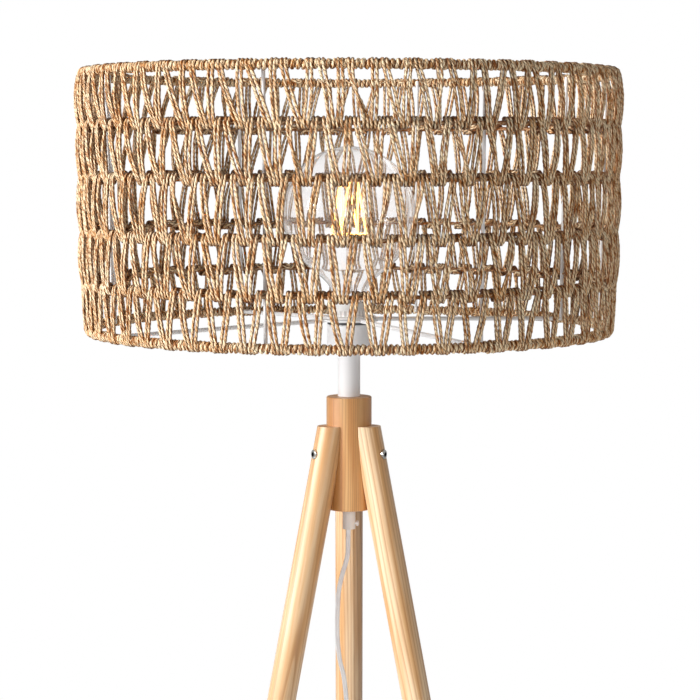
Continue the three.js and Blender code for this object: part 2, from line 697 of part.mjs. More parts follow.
// A ring wall with the given levels, from the lowest up. From its second level to its third, openings part it
// into bars, which lean to one side and the other by turns.
function openWall(levels) {
  const openLevel = 1;
  const columns = 4 * openingPairs;
  const pitch = Math.PI / openingPairs;
  const [positions, index] = [[], []];
  levels.forEach(({ height, outer, inner }, level) => {
    for (const radius of [outer, inner]) {
      for (let column = 0; column < columns; column += 1) {
        const barNumber = Math.floor(column / 2);
        const isUpper = level > openLevel;
        const lean = barLeanDegrees * degree * (isUpper === (barNumber % 2 === 0) ? 1 : -1);
        const edge = (pitch * barShare) / 2;
        const angle = barNumber * pitch + lean + (column % 2 === 0 ? -edge : edge);
        positions.push(radius * Math.cos(angle), radius * Math.sin(angle), height);
      }
    }
  });
  const outside = (level, column) => 2 * level * columns + (column % columns);
  const inside = (level, column) => outside(level, column) + columns;
  const face = (a, b, c, d) => index.push(a, b, c, a, c, d);
  const facingDown = (level, a, b) => {
    face(outside(level, a), inside(level, a), inside(level, b), outside(level, b));
  };
  const facingUp = (level, a, b) => {
    face(outside(level, a), outside(level, b), inside(level, b), inside(level, a));
  };
  for (let column = 0; column < columns; column += 1) {
    const [a, b] = [column, column + 1];
    facingDown(0, a, b);
    facingUp(levels.length - 1, a, b);
    for (let level = 0; level < levels.length - 1; level += 1) {
      const above = level + 1;
      if (level === openLevel && column % 2 === 1) {
        facingUp(level, a, b);
        facingDown(above, a, b);
        face(outside(level, a), inside(level, a), inside(above, a), outside(above, a));
        face(outside(level, b), outside(above, b), inside(above, b), inside(level, b));
      } else {
        face(outside(level, a), outside(level, b), outside(above, b), outside(above, a));
        face(inside(level, a), inside(above, a), inside(above, b), inside(level, b));
      }
    }
  }
  const geometry = new THREE.BufferGeometry();
  geometry.setAttribute('position', new THREE.Float32BufferAttribute(positions, 3));
  geometry.setIndex(index);
  return geometry;
}

// The open woven wall between two bands, bulging outwards between them
function tierShape(tier) {
  const [lowShare, highShare] = [bandShares[tier], bandShares[tier + 1]];
  const atRing = bindingDiameter / 2;
  const [isLowest, isHighest] = [tier === 0, tier === tierStandouts.length - 1];
  const lowest = lowerRingHeight + ringSpacing * lowShare + (isLowest ? atRing + fit : fit / 2);
  const highest = lowerRingHeight + ringSpacing * highShare - (isHighest ? atRing + fit : fit / 2);
  const rise = (highest - lowest) * bulgeShare;
  const low = frameRadius(lowShare) + (isLowest ? atRing : bandStandout);
  const high = frameRadius(highShare) + (isHighest ? atRing : bandStandout);
  const full = frameRadius((lowShare + highShare) / 2) + tierStandouts[tier];
  const inset = ringWireDiameter / 2 + fit - weaveClearance;
  const bulging = { outer: full, inner: full - tierWall };
  return openWall([
    { height: lowest, outer: low, inner: frameRadius(lowShare) - inset },
    { height: lowest + rise, ...bulging },
    { height: highest - rise, ...bulging },
    { height: highest, outer: high, inner: frameRadius(highShare) - inset },
  ]);
}

function makeWeave() {
  tierStandouts.forEach((_, tier) => place(`weave_tier_${tier + 1}`, tierShape(tier), twine, shade));
}

// The flat lead's section, its width along the shape's x
function cordSection(width, thickness) {
  const section = new THREE.Shape();
  for (let i = 0; i < cordSides; i += 1) {
    const angle = ((i + 1 / 2) * 2 * Math.PI) / cordSides;
    const stretch = 1 / Math.cos(Math.PI / cordSides);
    const [x, y] = [(width / 2) * stretch * Math.cos(angle), (thickness / 2) * stretch * Math.sin(angle)];
    section[i ? 'lineTo' : 'moveTo'](x, y);
  }
  section.closePath();
  return section;
}

function cordAlong(points, section, steps) {
  const corners = points.map((point) => new THREE.Vector3(...point));
  const route = new THREE.CatmullRomCurve3(corners, false, 'centripetal');
  return new THREE.ExtrudeGeometry(section, { steps, extrudePath: route, bevelEnabled: false });
}

function makeFreeCord() {
  const hanging = cordAlong(hangingPoints, cordSection(cordThickness, cordWidth), hangingSteps);
  place('cord_hanging', hanging, whitePlastic);
  const onFloor = cordAlong(floorPoints, cordSection(cordWidth, cordThickness), floorSteps);
  place('cord_on_floor', onFloor, whitePlastic);
}

// Centre of the wound cord after a number of turns: in, up a layer in the innermost half turn, and out
function coilPoint(turns) {
  const [climbStart, climbLength] = [coilTurnsPerLayer, 1 / 2];
  const fromClimb = Math.max(0, Math.abs(turns - climbStart - climbLength / 2) - climbLength / 2);
  const eased = THREE.MathUtils.smoothstep(fromClimb, 0, climbLength) * climbLength;
  const radius = coilInnerRadius + coilRadialPitch * (fromClimb + eased);
  const climbed = THREE.MathUtils.clamp((turns - climbStart) / climbLength, 0, 1);
  const angle = turns * 2 * Math.PI;
  const [across, forward] = [radius * Math.cos(angle), radius * Math.sin(angle)];
  const height = coilLayerHeight + coilLayerPitch * climbed;
  return new THREE.Vector3(coilCentre[0] + across, coilCentre[1] + forward, height);
}

function coilRoute() {
  const turns = 2 * coilTurnsPerLayer + 1 / 2;
  const steps = Math.round(turns * coilStepsPerTurn);
  const route = [];
  for (let i = 0; i <= steps; i += 1) route.push(coilPoint((turns * i) / steps));
  const lead = new THREE.Vector3(0, coilLead, 0);
  route.unshift(route[0].clone().sub(lead));
  route.push(route[route.length - 1].clone().sub(lead));
  return route;
}

// The route's least gap to itself, measured between points more than half a turn apart
function coilGap(route) {
  let least = Infinity;
  const apart = coilStepsPerTurn / 2;
  for (let i = 0; i < route.length; i += 1) {
    for (let j = i + apart; j < route.length; j += 1) {
      const level = Math.hypot(route[i].x - route[j].x, route[i].y - route[j].y) - cordWidth;
      const rise = Math.abs(route[i].z - route[j].z) - cordThickness;
      least = Math.min(least, Math.max(level, rise));
    }
  }
  return least;
}

function coilShape(route) {
  const [half, flat] = [cordWidth / 2, cordThickness / 2];
  const level = half * coilFlatShare;
  const section = [[half, 0], [level, flat], [-level, flat], [-half, 0], [-level, -flat], [level, -flat]];
  const [positions, index] = [[], []];
  route.forEach((point, i) => {
    const [before, after] = [route[Math.max(0, i - 1)], route[Math.min(route.length - 1, i + 1)]];
    const along = new THREE.Vector3(after.x - before.x, after.y - before.y, 0).normalize();
    const isEnd = i === 0 || i === route.length - 1;
    const isNext = i === 1 || i === route.length - 2;
    if (isEnd || isNext) along.set(0, Math.sign(i === 0 || i === 1 ? 1 : -1), 0);
    for (const [out, up] of section) {
      positions.push(point.x + along.y * out, point.y - along.x * out, point.z + up);
    }
  });
  const sides = section.length;
  for (let ring = 0; ring < route.length - 1; ring += 1) {
    for (let side = 0; side < sides; side += 1) {
      const [a, b] = [ring * sides + side, ring * sides + ((side + 1) % sides)];
      index.push(a, a + sides, b, b, a + sides, b + sides);
    }
  }
  const last = (route.length - 1) * sides;
  for (let side = 1; side < sides - 1; side += 1) {
    index.push(0, side, side + 1);
    index.push(last, last + side + 1, last + side);
  }
  const geometry = new THREE.BufferGeometry();
  geometry.setAttribute('position', new THREE.Float32BufferAttribute(positions, 3));
  geometry.setIndex(index);
  return geometry;
}

function makeCoil() {
  const route = coilRoute();
  console.log(`least gap of the coil to itself: ${coilGap(route).toFixed(2)} mm`);
  place('cord_coil', coilShape(route), whitePlastic);
  const room = cordWidth / 2 + fit;
  const [far, near] = tieTurns.map((turns) => coilCentre[1] - coilPoint(turns).y);
  const reach = tieWidth / 2;
  const sag = reach ** 2 / (2 * (near - room)); // how far the turns bend away under the tie
  const drift = (coilRadialPitch * reach) / (2 * Math.PI * (near - room));
  const [low, high] = [near - room - sag - drift, far + room + drift];
  const top = secondLayerHeight + cordThickness / 2 + fit;
  const outline = rectangle(-high - tieThickness, 0, -low + tieThickness, top + tieThickness);
  outline.holes.push(rectangle(-high, tieThickness, -low, top));
  const tie = new THREE.ExtrudeGeometry(outline, { depth: tieWidth, bevelEnabled: false });
  tie.applyMatrix4(new THREE.Matrix4().set(0, 0, 1, 0, 1, 0, 0, 0, 0, 1, 0, 0, 0, 0, 0, 1));
  place('coil_tie', tie.translate(coilCentre[0] - tieWidth / 2, coilCentre[1], 0), whitePlastic);
}

function rectangle(left, low, right, high) {
  const shape = new THREE.Shape();
  shape.moveTo(left, low);
  shape.lineTo(right, low);
  shape.lineTo(right, high);
  shape.lineTo(left, high);
  shape.closePath();
  return shape;
}

// A rectangle with round corners about the origin
function roundedOutline(length, width, radius) {
  const shape = new THREE.Shape();
  const [x, y] = [length / 2 - radius, width / 2 - radius];
  shape.absarc(x, y, radius, 0, Math.PI / 2);
  shape.absarc(-x, y, radius, Math.PI / 2, Math.PI);
  shape.absarc(-x, -y, radius, Math.PI, 3 * Math.PI / 2);
  shape.absarc(x, -y, radius, 3 * Math.PI / 2, 2 * Math.PI);
  return shape;
}

function slabOf(outline, low, high) {
  const options = { depth: high - low, bevelEnabled: false, curveSegments: cornerSteps };
  return new THREE.ExtrudeGeometry(outline, options).translate(0, 0, low);
}

function makeFootSwitch() {
  const outline = roundedOutline(switchWidth, switchLength, switchCornerRadius);
  const [width, length] = [switchWidth - 2 * switchWall, switchLength - 2 * switchWall];
  const cavity = roundedOutline(width, length, switchCornerRadius - switchWall);
  const coverBottom = switchBaseHeight + fit;
  const coverTop = coverBottom + switchCoverHeight;
  const roof = coverTop - switchWall;
  const hollow = slabOf(cavity, switchWall, switchBaseHeight + overrun);
  const base = cut(slabOf(outline, 0, switchBaseHeight), hollow);
  const hole = bar(buttonDiameter / 2 + fit, roof - overrun, coverTop + overrun, plainSides);
  const room = slabOf(cavity, coverBottom - overrun, roof);
  const cover = cut(slabOf(outline, coverBottom, coverTop), room, hole);
  const [radius, flange] = [buttonDiameter / 2, buttonDiameter / 2 + buttonFlangeWidth];
  const flangeTop = roof - fit;
  const buttonTop = coverTop + buttonStandout;
  const flangeLow = flangeTop - buttonFlangeThickness;
  const button = turned([
    [0, flangeLow], [flange, flangeLow], [flange, flangeTop], [radius, flangeTop],
    [radius, buttonTop - buttonFlangeThickness], [radius - buttonFlangeThickness, buttonTop], [0, buttonTop],
  ]);
  for (const [name, shape] of [['switch_base', base], ['switch_cover', cover], ['switch_button', button]]) {
    place(name, shape, whitePlastic).position.set(switchCentre[0], switchCentre[1], 0);
  }
}

// The plug lies on its broad side beside the coil, its cord end towards +Y
function makePlug() {
  const group = new THREE.Group();
  group.position.set(coilCentre[0] - coilOuterRadius, coilCentre[1] - coilLead - fit, secondLayerHeight);
  lamp.add(group);
  const half = secondLayerHeight;
  const [neck, front] = [-reliefLength, -reliefLength - plugLength];
  const [w, n] = [plugWidth / 2 - plugBevel, plugNeckWidth / 2 - plugBevel];
  const [first, second, full] = plugTaperShares.map((share) => neck - plugLength * share);
  const outline = new THREE.Shape();
  outline.moveTo(-n, neck - plugBevel);
  outline.bezierCurveTo(-w, first, -w, second, -w, full);
  outline.lineTo(-w, front + plugBevel);
  outline.lineTo(w, front + plugBevel);
  outline.lineTo(w, full);
  outline.bezierCurveTo(w, second, w, first, n, neck - plugBevel);
  outline.closePath();
  const body = new THREE.ExtrudeGeometry(outline, {
    depth: 2 * (half - plugBevel),
    bevelThickness: plugBevel,
    bevelSize: plugBevel,
    bevelSegments: 1,
    curveSegments: cornerSteps,
  }).translate(0, 0, plugBevel - half);
  const reliefInside = reliefLength + plugBevel;
  const relief = turned([
    [0, 0], [reliefEndDiameter / 2, 0], [n, reliefInside], [0, reliefInside + plugBevel],
  ], smallSides).rotateX(Math.PI / 2);
  place('plug_body', join(body, relief), whitePlastic, group);
  const bladeMiddle = front - bladeRoot - bladeLength / 2;
  for (const [name, side] of [['plug_blade_left', -1], ['plug_blade_right', 1]]) {
    const blade = new THREE.BoxGeometry(bladeThickness, bladeLength, bladeHeight);
    place(name, blade.translate((side * bladeSpacing) / 2, bladeMiddle, 0), nickel, group);
  }
}

makeHub();
makeLegs();
makeStem();
makeCordGrip();
makeSocketCup();
makeLampholder();
makeShadeClamp();
makeBulb();
makeShadeFrame();
makeWeave();
makeFreeCord();
makeCoil();
makeFootSwitch();
makePlug();

export default lamp;
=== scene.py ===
"""Floor lamp with three wooden legs and a drum shade of twisted twine on a wire frame.

Each piece of the lamp has an operator of its own in the sidebar. Lengths are in metres.
"""

import math
import random

import bmesh
import bpy
from bpy.props import FloatProperty, FloatVectorProperty, IntProperty, PointerProperty
from mathutils import Matrix, Vector, noise


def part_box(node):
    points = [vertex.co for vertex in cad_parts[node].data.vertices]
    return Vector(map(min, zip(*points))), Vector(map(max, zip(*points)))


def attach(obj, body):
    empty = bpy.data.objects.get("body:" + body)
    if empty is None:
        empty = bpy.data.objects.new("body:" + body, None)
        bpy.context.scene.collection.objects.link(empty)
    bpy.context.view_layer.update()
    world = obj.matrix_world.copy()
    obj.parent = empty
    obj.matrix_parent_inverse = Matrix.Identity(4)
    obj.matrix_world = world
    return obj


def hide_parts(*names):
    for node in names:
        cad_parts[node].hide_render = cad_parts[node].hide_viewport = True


bl_info = {
    "name": "Woven Floor Lamp",
    "version": (1, 0, 0),
    "blender": (4, 5, 0),
    "location": "View3D > Sidebar > Floor Lamp",
    "description": "Builds a tripod floor lamp with a shade of woven twine",
    "category": "Object",
}

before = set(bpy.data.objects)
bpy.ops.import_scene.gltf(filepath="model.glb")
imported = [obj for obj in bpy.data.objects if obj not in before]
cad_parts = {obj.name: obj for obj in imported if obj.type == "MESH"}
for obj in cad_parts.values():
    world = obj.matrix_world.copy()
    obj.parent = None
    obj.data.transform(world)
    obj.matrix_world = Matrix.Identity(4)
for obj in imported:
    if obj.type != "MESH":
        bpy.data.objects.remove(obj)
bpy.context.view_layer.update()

MM = 0.001
FULL_TURN = 2 * math.pi
SPLAY = math.radians(12)
FOOT_REACH = 239.2 * MM  # from the lamp's axis to the middle of a foot
LEGS = ("front_left", "front_right", "rear")
LEG_TURNS = {"leg_front_left": 210, "leg_front_right": 330, "leg_rear": 90}
RING_WIRE_RADIUS = 2 * MM
MERGE_DISTANCE = 0.002 * MM  # within which two corners of a mesh are one


def middle_height(node):
    """The height of a CAD node's middle."""
    return sum(corner.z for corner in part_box(node)) / 2


def polar(radius, angle):
    return radius * math.cos(angle), radius * math.sin(angle)


def soft_share(share):
    """A share from 0 to 1 with a soft start and end."""
    return share * share * (3 - 2 * share)


RINGS = {"lower": "shade_lower_ring", "upper": "shade_upper_ring"}
RING_RADIUS = {name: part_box(ring)[1].x - RING_WIRE_RADIUS for name, ring in RINGS.items()}
RING_HEIGHT = {name: middle_height(ring) for name, ring in RINGS.items()}


# Node trees

class Value:
    """An output socket that takes part in arithmetic, which adds its Math nodes."""

    def __init__(self, net, socket):
        self.net = net
        self.socket = socket

    def math(self, operation, *others, first=True):
        values = (self, *others) if first else (*others, self)
        return self.net.add("ShaderNodeMath", dict(enumerate(values)), operation=operation)

    def __add__(self, other):
        return self.math("ADD", other)

    def __sub__(self, other):
        return self.math("SUBTRACT", other)

    def __mul__(self, other):
        return self.math("MULTIPLY", other)

    def __truediv__(self, other):
        return self.math("DIVIDE", other)

    def __rsub__(self, other):
        return self.math("SUBTRACT", other, first=False)

    def ramp(self, low, high):
        """This value's way from low to high, as 0 to 1 with soft ends."""
        limits = {"From_Min": low, "From_Max": high}
        return self.net.add("ShaderNodeMapRange", Value=self, interpolation_type="SMOOTHSTEP", **limits)


class Net:
    """Adds the nodes of one tree and links them."""

    def __init__(self, tree):
        self.tree = tree

    def add(self, kind, numbered=None, output=0, **named):
        """Adds a node. A name with a capital is an input, with _ for each space, any other is a setting."""
        node = self.tree.nodes.new(kind)
        inputs = dict(numbered or {})
        for name, value in named.items():
            if name[0].isupper():
                inputs[name.replace("_", " ")] = value
            else:
                setattr(node, name, value)
        for key, value in inputs.items():
            self.feed(node.inputs[key], value)
        return Value(self, node.outputs[output]) if node.outputs else node

    def feed(self, socket, value):
        if isinstance(value, Value):
            self.tree.links.new(value.socket, socket)
        else:
            socket.default_value = value

    def vector(self, x=0.0, y=0.0, z=0.0):
        return self.add("ShaderNodeCombineXYZ", X=x, Y=y, Z=z)

    def vectors(self, operation, first, second=None, output=0):
        """Arithmetic on one or two vectors, or on a vector and a number where the operation is SCALE."""
        inputs = {0: first}
        if second is not None:
            inputs["Scale" if operation == "SCALE" else 1] = second
        return self.add("ShaderNodeVectorMath", inputs, output, operation=operation)

    def turn(self, vector, angle):
        """A vector turned about Z."""
        return self.add("ShaderNodeVectorRotate", Vector=vector, Angle=angle, rotation_type="Z_AXIS")

    def noise(self, vector, scale, detail=3.0, roughness=0.5, output=0):
        grain = {"Scale": scale, "Detail": detail, "Roughness": roughness}
        return self.add("ShaderNodeTexNoise", output=output, Vector=vector, **grain)

    def ridge(self, across, plies):
        """How far out a ply's surface is, from 0 in the grooves to 1, at a place across the twine."""
        parts = self.add("ShaderNodeSeparateXYZ", {0: across}).socket.node
        x, y = (Value(self, parts.outputs[i]) for i in range(2))
        return (y.math("ARCTAN2", x) * plies / 2.0).math("COSINE").math("ABSOLUTE")


class Finish(Net):
    """The nodes of one surface finish."""

    def __init__(self, name, preview, **plain):
        self.material = bpy.data.materials.new(name)
        self.material.use_nodes = True
        self.material.diffuse_color = (*preview, 1)
        super().__init__(self.material.node_tree)
        self.tree.nodes.clear()
        self.shader = self.tree.nodes.new("ShaderNodeBsdfPrincipled")
        self.output = self.tree.nodes.new("ShaderNodeOutputMaterial")
        self.tree.links.new(self.shader.outputs[0], self.output.inputs[0])
        self.surface(**{"Base Color": (*preview, 1)}, **plain)

    def surface(self, **inputs):
        for name, value in inputs.items():
            self.feed(self.shader.inputs[name.replace("_", " ")], value)

    def place(self, scale=(1, 1, 1), rotation=(0, 0, 0), location=(0, 0, 0)):
        """Object coordinates, moved, turned and stretched."""
        here = self.add("ShaderNodeTexCoord", output="Object")
        return self.add("ShaderNodeMapping", Vector=here, Location=location, Rotation=rotation, Scale=scale)

    def attribute(self, name, output="Fac"):
        return self.add("ShaderNodeAttribute", output=output, attribute_name=name)

    def blend(self, factor, low, high, kind="MIX"):
        """A mix of two colours."""
        colours = {6: low, 7: high}
        inputs = {0: factor, **{i: (*c, 1) if isinstance(c, tuple) else c for i, c in colours.items()}}
        return self.add("ShaderNodeMix", inputs, output=2, data_type="RGBA", blend_type=kind)

    def bump(self, height, distance, strength=1.0):
        self.surface(Normal=self.add("ShaderNodeBump", Height=height, Distance=distance, Strength=strength))


def srgb(red, green, blue):
    """A colour as it looks on a screen, from 0 to 255, in the linear numbers that nodes take."""
    def linear(value):
        value /= 255
        return value / 12.92 if value <= 0.04045 else ((value + 0.055) / 1.055) ** 2.4
    return linear(red), linear(green), linear(blue)


# Finishes

def twine_finish(name, plies=2, shade=0.0):
    """Twisted plant fibre. The ways of its plies come from the attributes that lay_twine stores."""
    look = bpy.context.scene.lamp_look
    finish = Finish(name, tuple(look.twine), Specular_IOR_Level=0.2)
    twist, around = finish.attribute("twist"), finish.attribute("around", "Vector")
    ridge = finish.ridge(finish.turn(around, twist * FULL_TURN), plies)
    lengthwise = finish.vector(z=twist * 0.8)
    fibre_place = finish.vectors("ADD", finish.turn(around, twist * (FULL_TURN / 4)), lengthwise)
    fibre = finish.noise(fibre_place, 1.35, detail=4.0, roughness=0.6)
    thread = finish.noise(fibre_place, 3.2, detail=2.0)
    patch = finish.noise(finish.place(), 34.0, detail=3.0)
    pale, straw = tuple(look.twine_pale), tuple(look.twine)
    brown, deep = tuple(look.twine_dark), tuple(look.twine_groove_shade)
    # The colour of the painted shade on the strands' sides, halfway between the dark fibres and the groove
    # shade.
    side = tuple((b + d) / 2 for b, d in zip(brown, deep))
    colour = finish.blend(patch.ramp(0.3, 0.7) * 0.3 + (1 - fibre).ramp(0.44, 0.56) * 0.7, straw, pale)
    colour = finish.blend(fibre.ramp(0.5, 0.6) * 0.9, colour, brown)
    colour = finish.blend(thread.ramp(0.54, 0.66) * 0.7, colour, brown)
    # Painted shade in the grooves between the plies, darkest where the ridge is lowest.
    colour = finish.blend((1 - ridge).ramp(0.5, 1.0) * 0.8, colour, deep)
    # Painted shade where a strand's surface turns sideways from the outward direction.
    colour = finish.blend((1 - finish.attribute("facing")).ramp(0.2, 0.85) * 0.85, colour, side)
    # Painted shade: a share of the dark fibre colour over the whole twine, for ropes that lie under the
    # strands and windings.
    if shade:
        colour = finish.blend(shade, colour, brown)
    finish.surface(Base_Color=colour, Roughness=fibre * 0.25 + 0.33)
    finish.bump(ridge * 0.5 + fibre * 0.5, 0.9 * MM, 0.8)
    return finish.material


def pine_finish(name, rotation=(0, 0, 0), location=(0, 0, 0), seed=0.0, warmth=0.0, grain=330.0):
    """Pale wood whose grain runs along Z after the given turn."""
    look = bpy.context.scene.lamp_look
    finish = Finish(name, tuple(look.pine), Specular_IOR_Level=0.5, Coat_Weight=1.0,
                    Coat_Roughness=0.55, Coat_IOR=1.7)
    place = finish.place(rotation=rotation, location=location)
    shifted = finish.vectors("ADD", place, (0.031, 0.055, seed))
    drawn = finish.vectors("MULTIPLY", shifted, (1, 1, 0.06))
    sway = finish.noise(drawn, 24.0, detail=2.0)
    reach = finish.vectors("LENGTH", finish.vectors("MULTIPLY", shifted, (1, 1, 0)), output=1)
    rings = (reach * grain + sway * 7.0).math("FRACT")
    late = rings.ramp(0.45, 0.93) * (1 - rings.ramp(0.93, 1.0))
    stretched = finish.vectors("MULTIPLY", shifted, (1, 1, 0.012))
    pores = finish.noise(stretched, 1700.0, detail=3.0, roughness=0.6)
    cloud = finish.noise(drawn, 90.0, detail=3.0)
    pale, mid, dark = (tuple(c) for c in (look.pine_pale, look.pine, look.pine_dark))
    colour = finish.blend(cloud.ramp(0.35, 0.7), mid, pale)
    colour = finish.blend(late * 0.55, colour, dark)
    colour = finish.blend(pores.ramp(0.52, 0.75) * 0.35, colour, dark)
    if warmth:
        colour = finish.blend(warmth, colour, tuple(look.pine_warm), "MULTIPLY")
    finish.surface(Base_Color=colour, Roughness=pores * 0.18 + 0.34)
    finish.bump(pores * 0.6 - late, 0.12 * MM, 0.5)
    return finish.material


def enamel_finish(name, colour, roughness, ripple=0.02):
    """Smooth paint or plastic with a faint ripple."""
    finish = Finish(name, colour, Specular_IOR_Level=0.5)
    skin = finish.noise(finish.place(), 900.0, detail=2.0)
    dust = finish.noise(finish.place(), 45.0, detail=3.0)
    tint = finish.blend(dust.ramp(0.45, 0.8) * 0.25, colour, tuple(0.93 * c for c in colour))
    finish.surface(Base_Color=tint, Roughness=dust * 0.12 + (roughness - 0.06))
    finish.bump(skin, ripple * MM, 0.5)
    return finish.material


def metal_finish(name, colour, roughness, brushed=(1, 1, 1)):
    """Bare metal with fine marks, and a dark, dull painted shade on the faces marked as a bolt's socket."""
    finish = Finish(name, colour)
    marks = finish.noise(finish.place(scale=brushed), 1600.0, detail=3.0, roughness=0.6)
    stain = finish.noise(finish.place(), 120.0, detail=3.0)
    socket_shade = finish.attribute("socket_shade")
    tint = finish.blend(stain.ramp(0.4, 0.75) * 0.4, colour, tuple(0.72 * c for c in colour))
    # Painted shade in a bolt's hex socket: dark, not metallic and rougher.
    tint = finish.blend(socket_shade, tint, srgb(24, 20, 18))
    wear = marks * 0.16 + socket_shade * 0.4 + (roughness - 0.08)
    finish.surface(Base_Color=tint, Metallic=1 - socket_shade, Roughness=wear)
    finish.bump(marks, 0.02 * MM, 0.4)
    return finish.material


def felt_finish():
    """Pressed brown fibres."""
    finish = Finish("Felt", srgb(98, 84, 70), Roughness=0.95, Sheen_Weight=0.4)
    fibre = finish.noise(finish.place(), 1500.0, detail=4.0, roughness=0.7)
    colour = finish.blend(fibre.ramp(0.4, 0.65), srgb(80, 67, 55), srgb(124, 108, 92))
    finish.surface(Base_Color=colour)
    finish.bump(fibre, 0.4 * MM)
    return finish.material


def lead_finish():
    """Soft white covering of the flat cord."""
    plain = {"Specular_IOR_Level": 0.5, "Coat_Weight": 0.4, "Coat_Roughness": 0.3}
    finish = Finish("Cord covering", srgb(250, 250, 252), **plain)
    cloud = finish.noise(finish.place(), 70.0, detail=2.0)
    colour = finish.blend(cloud.ramp(0.35, 0.7), srgb(252, 252, 254), srgb(242, 241, 245))
    finish.surface(Base_Color=colour, Roughness=cloud * 0.14 + 0.38)
    finish.bump(finish.noise(finish.place(), 1100.0), 0.03 * MM, 0.5)
    return finish.material


def glass_finish():
    """Clear glass of the bulb with a faint haze."""
    plain = {"Roughness": 0.0, "IOR": 1.45, "Transmission_Weight": 0.985}
    return Finish("Clear glass", (0.985, 0.985, 0.99), **plain).material


def filament_finish():
    """Glowing sticks, whose glow varies in spots between two warm colours."""
    finish = Finish("Filament", srgb(255, 214, 150), Roughness=0.5)
    spots = finish.noise(finish.place(), 900.0, detail=1.0)
    glow = finish.blend(spots.ramp(0.35, 0.65), srgb(255, 180, 84), srgb(255, 200, 116))
    finish.surface(Emission_Color=glow, Emission_Strength=bpy.context.scene.lamp_look.glow)
    return finish.material


# Meshes

def linked(name, data):
    """A new object, linked to the scene."""
    item = bpy.data.objects.new(name, data)
    bpy.context.scene.collection.objects.link(item)
    return item


def finished(name, mesh, material, body, slot, *nodes):
    """Links a mesh as a piece of the lamp, hangs it under its body and hides the CAD nodes that it stands
    for.
    """
    piece = linked(name, mesh)
    if material:
        mesh.materials.clear()
        mesh.materials.append(material)
    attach(piece, body)
    if nodes:
        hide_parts(*nodes)
    return piece


def soften(mesh, degrees=32):
    """Smooth shading, with the edges past an angle left sharp."""
    work = bmesh.new()
    work.from_mesh(mesh)
    bmesh.ops.remove_doubles(work, verts=work.verts, dist=MERGE_DISTANCE)
    limit = math.radians(degrees)
    for face in work.faces:
        face.smooth = True
    for edge in work.edges:
        edge.smooth = len(edge.link_faces) == 2 and edge.calc_face_angle(math.pi) < limit
    work.to_mesh(mesh)
    work.free()


def smooth_copy(node, material, slot, body="stand", degrees=32):
    """A softly shaded copy of a CAD node, in its place."""
    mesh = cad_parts[node].data.copy()
    mesh.name = f"{node}_smooth"
    soften(mesh, degrees)
    return finished(f"{node}_finished", mesh, material, body, slot, node)


def repaint(node, material):
    """Gives a CAD node that stays as it is its finish."""
    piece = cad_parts[node]
    if not piece.material_slots:
        piece.data.materials.append(material)
    piece.material_slots[0].material = material


def mesh_from(name, points, faces=(), edges=()):
    mesh = bpy.data.meshes.new(name)
    mesh.from_pydata(points, edges, faces)
    mesh.update()
    return mesh


def shell(name, points, faces, degrees):
    """A softly shaded mesh whose faces look outwards."""
    mesh = mesh_from(name, points, faces)
    work = bmesh.new()
    work.from_mesh(mesh)
    bmesh.ops.remove_doubles(work, verts=work.verts, dist=MERGE_DISTANCE)
    bmesh.ops.recalc_face_normals(work, faces=work.faces)
    work.to_mesh(mesh)
    work.free()
    soften(mesh, degrees)
    return mesh


def turned(name, profile, sides, degrees):
    """A profile of (radius, height) turned about the lamp's axis. Its ends are on the axis, or they meet."""
    points, rings, faces = [], [], []
    for radius, height in profile:
        count = sides if radius else 1
        rings.append(range(len(points), len(points) + count))
        points += [(*polar(radius, FULL_TURN * i / sides), height) for i in range(count)]
    for low, high in zip(rings, rings[1:]):
        for i in range(sides):
            j = (i + 1) % sides
            corners = (low[i % len(low)], low[j % len(low)], high[j % len(high)], high[i % len(high)])
            faces.append(tuple(dict.fromkeys(corners)))
    return shell(name, points, faces, degrees)


def swept(name, path, section, up):
    """A section of (across, over) points carried along a path, with over turned as near to up as can be."""
    points, faces = [], []
    count, sides = len(path), len(section)
    for i, point in enumerate(path):
        along = (path[min(i + 1, count - 1)] - path[max(i - 1, 0)]).normalized()
        across = along.cross(up).normalized()
        over = across.cross(along)
        points += [point + across * u + over * v for u, v in section]
    for i in range(count - 1):
        here, there = i * sides, (i + 1) * sides
        for j in range(sides):
            n = (j + 1) % sides
            faces.append((here + j, here + n, there + n, there + j))
    faces += [tuple(reversed(range(sides))), tuple(range((count - 1) * sides, count * sides))]
    return shell(name, points, faces, degrees=50)


def spline(corners, step):
    """Points a step apart along a smooth curve through the corners."""
    ends = [corners[0] * 2 - corners[1], *corners, corners[-1] * 2 - corners[-2]]
    fine = []
    for a, b, c, d in zip(ends, ends[1:], ends[2:], ends[3:]):
        knots = [0.0]
        for p, q in ((a, b), (b, c), (c, d)):
            knots.append(knots[-1] + math.sqrt((q - p).length))
        parts = max(2, math.ceil((c - b).length / step))
        for i in range(parts):
            t = knots[1] + (knots[2] - knots[1]) * i / parts
            first = [lerp(p, q, s, e, t) for p, q, s, e in zip((a, b, c), (b, c, d), knots, knots[1:])]
            second = [lerp(p, q, s, e, t) for p, q, s, e in zip(first, first[1:], knots, knots[2:])]
            fine.append(lerp(second[0], second[1], knots[1], knots[2], t))
    return [*fine, corners[-1].copy()]


def lerp(low, high, start, end, at):
    return low + (high - low) * ((at - start) / (end - start))


# Geometry Nodes

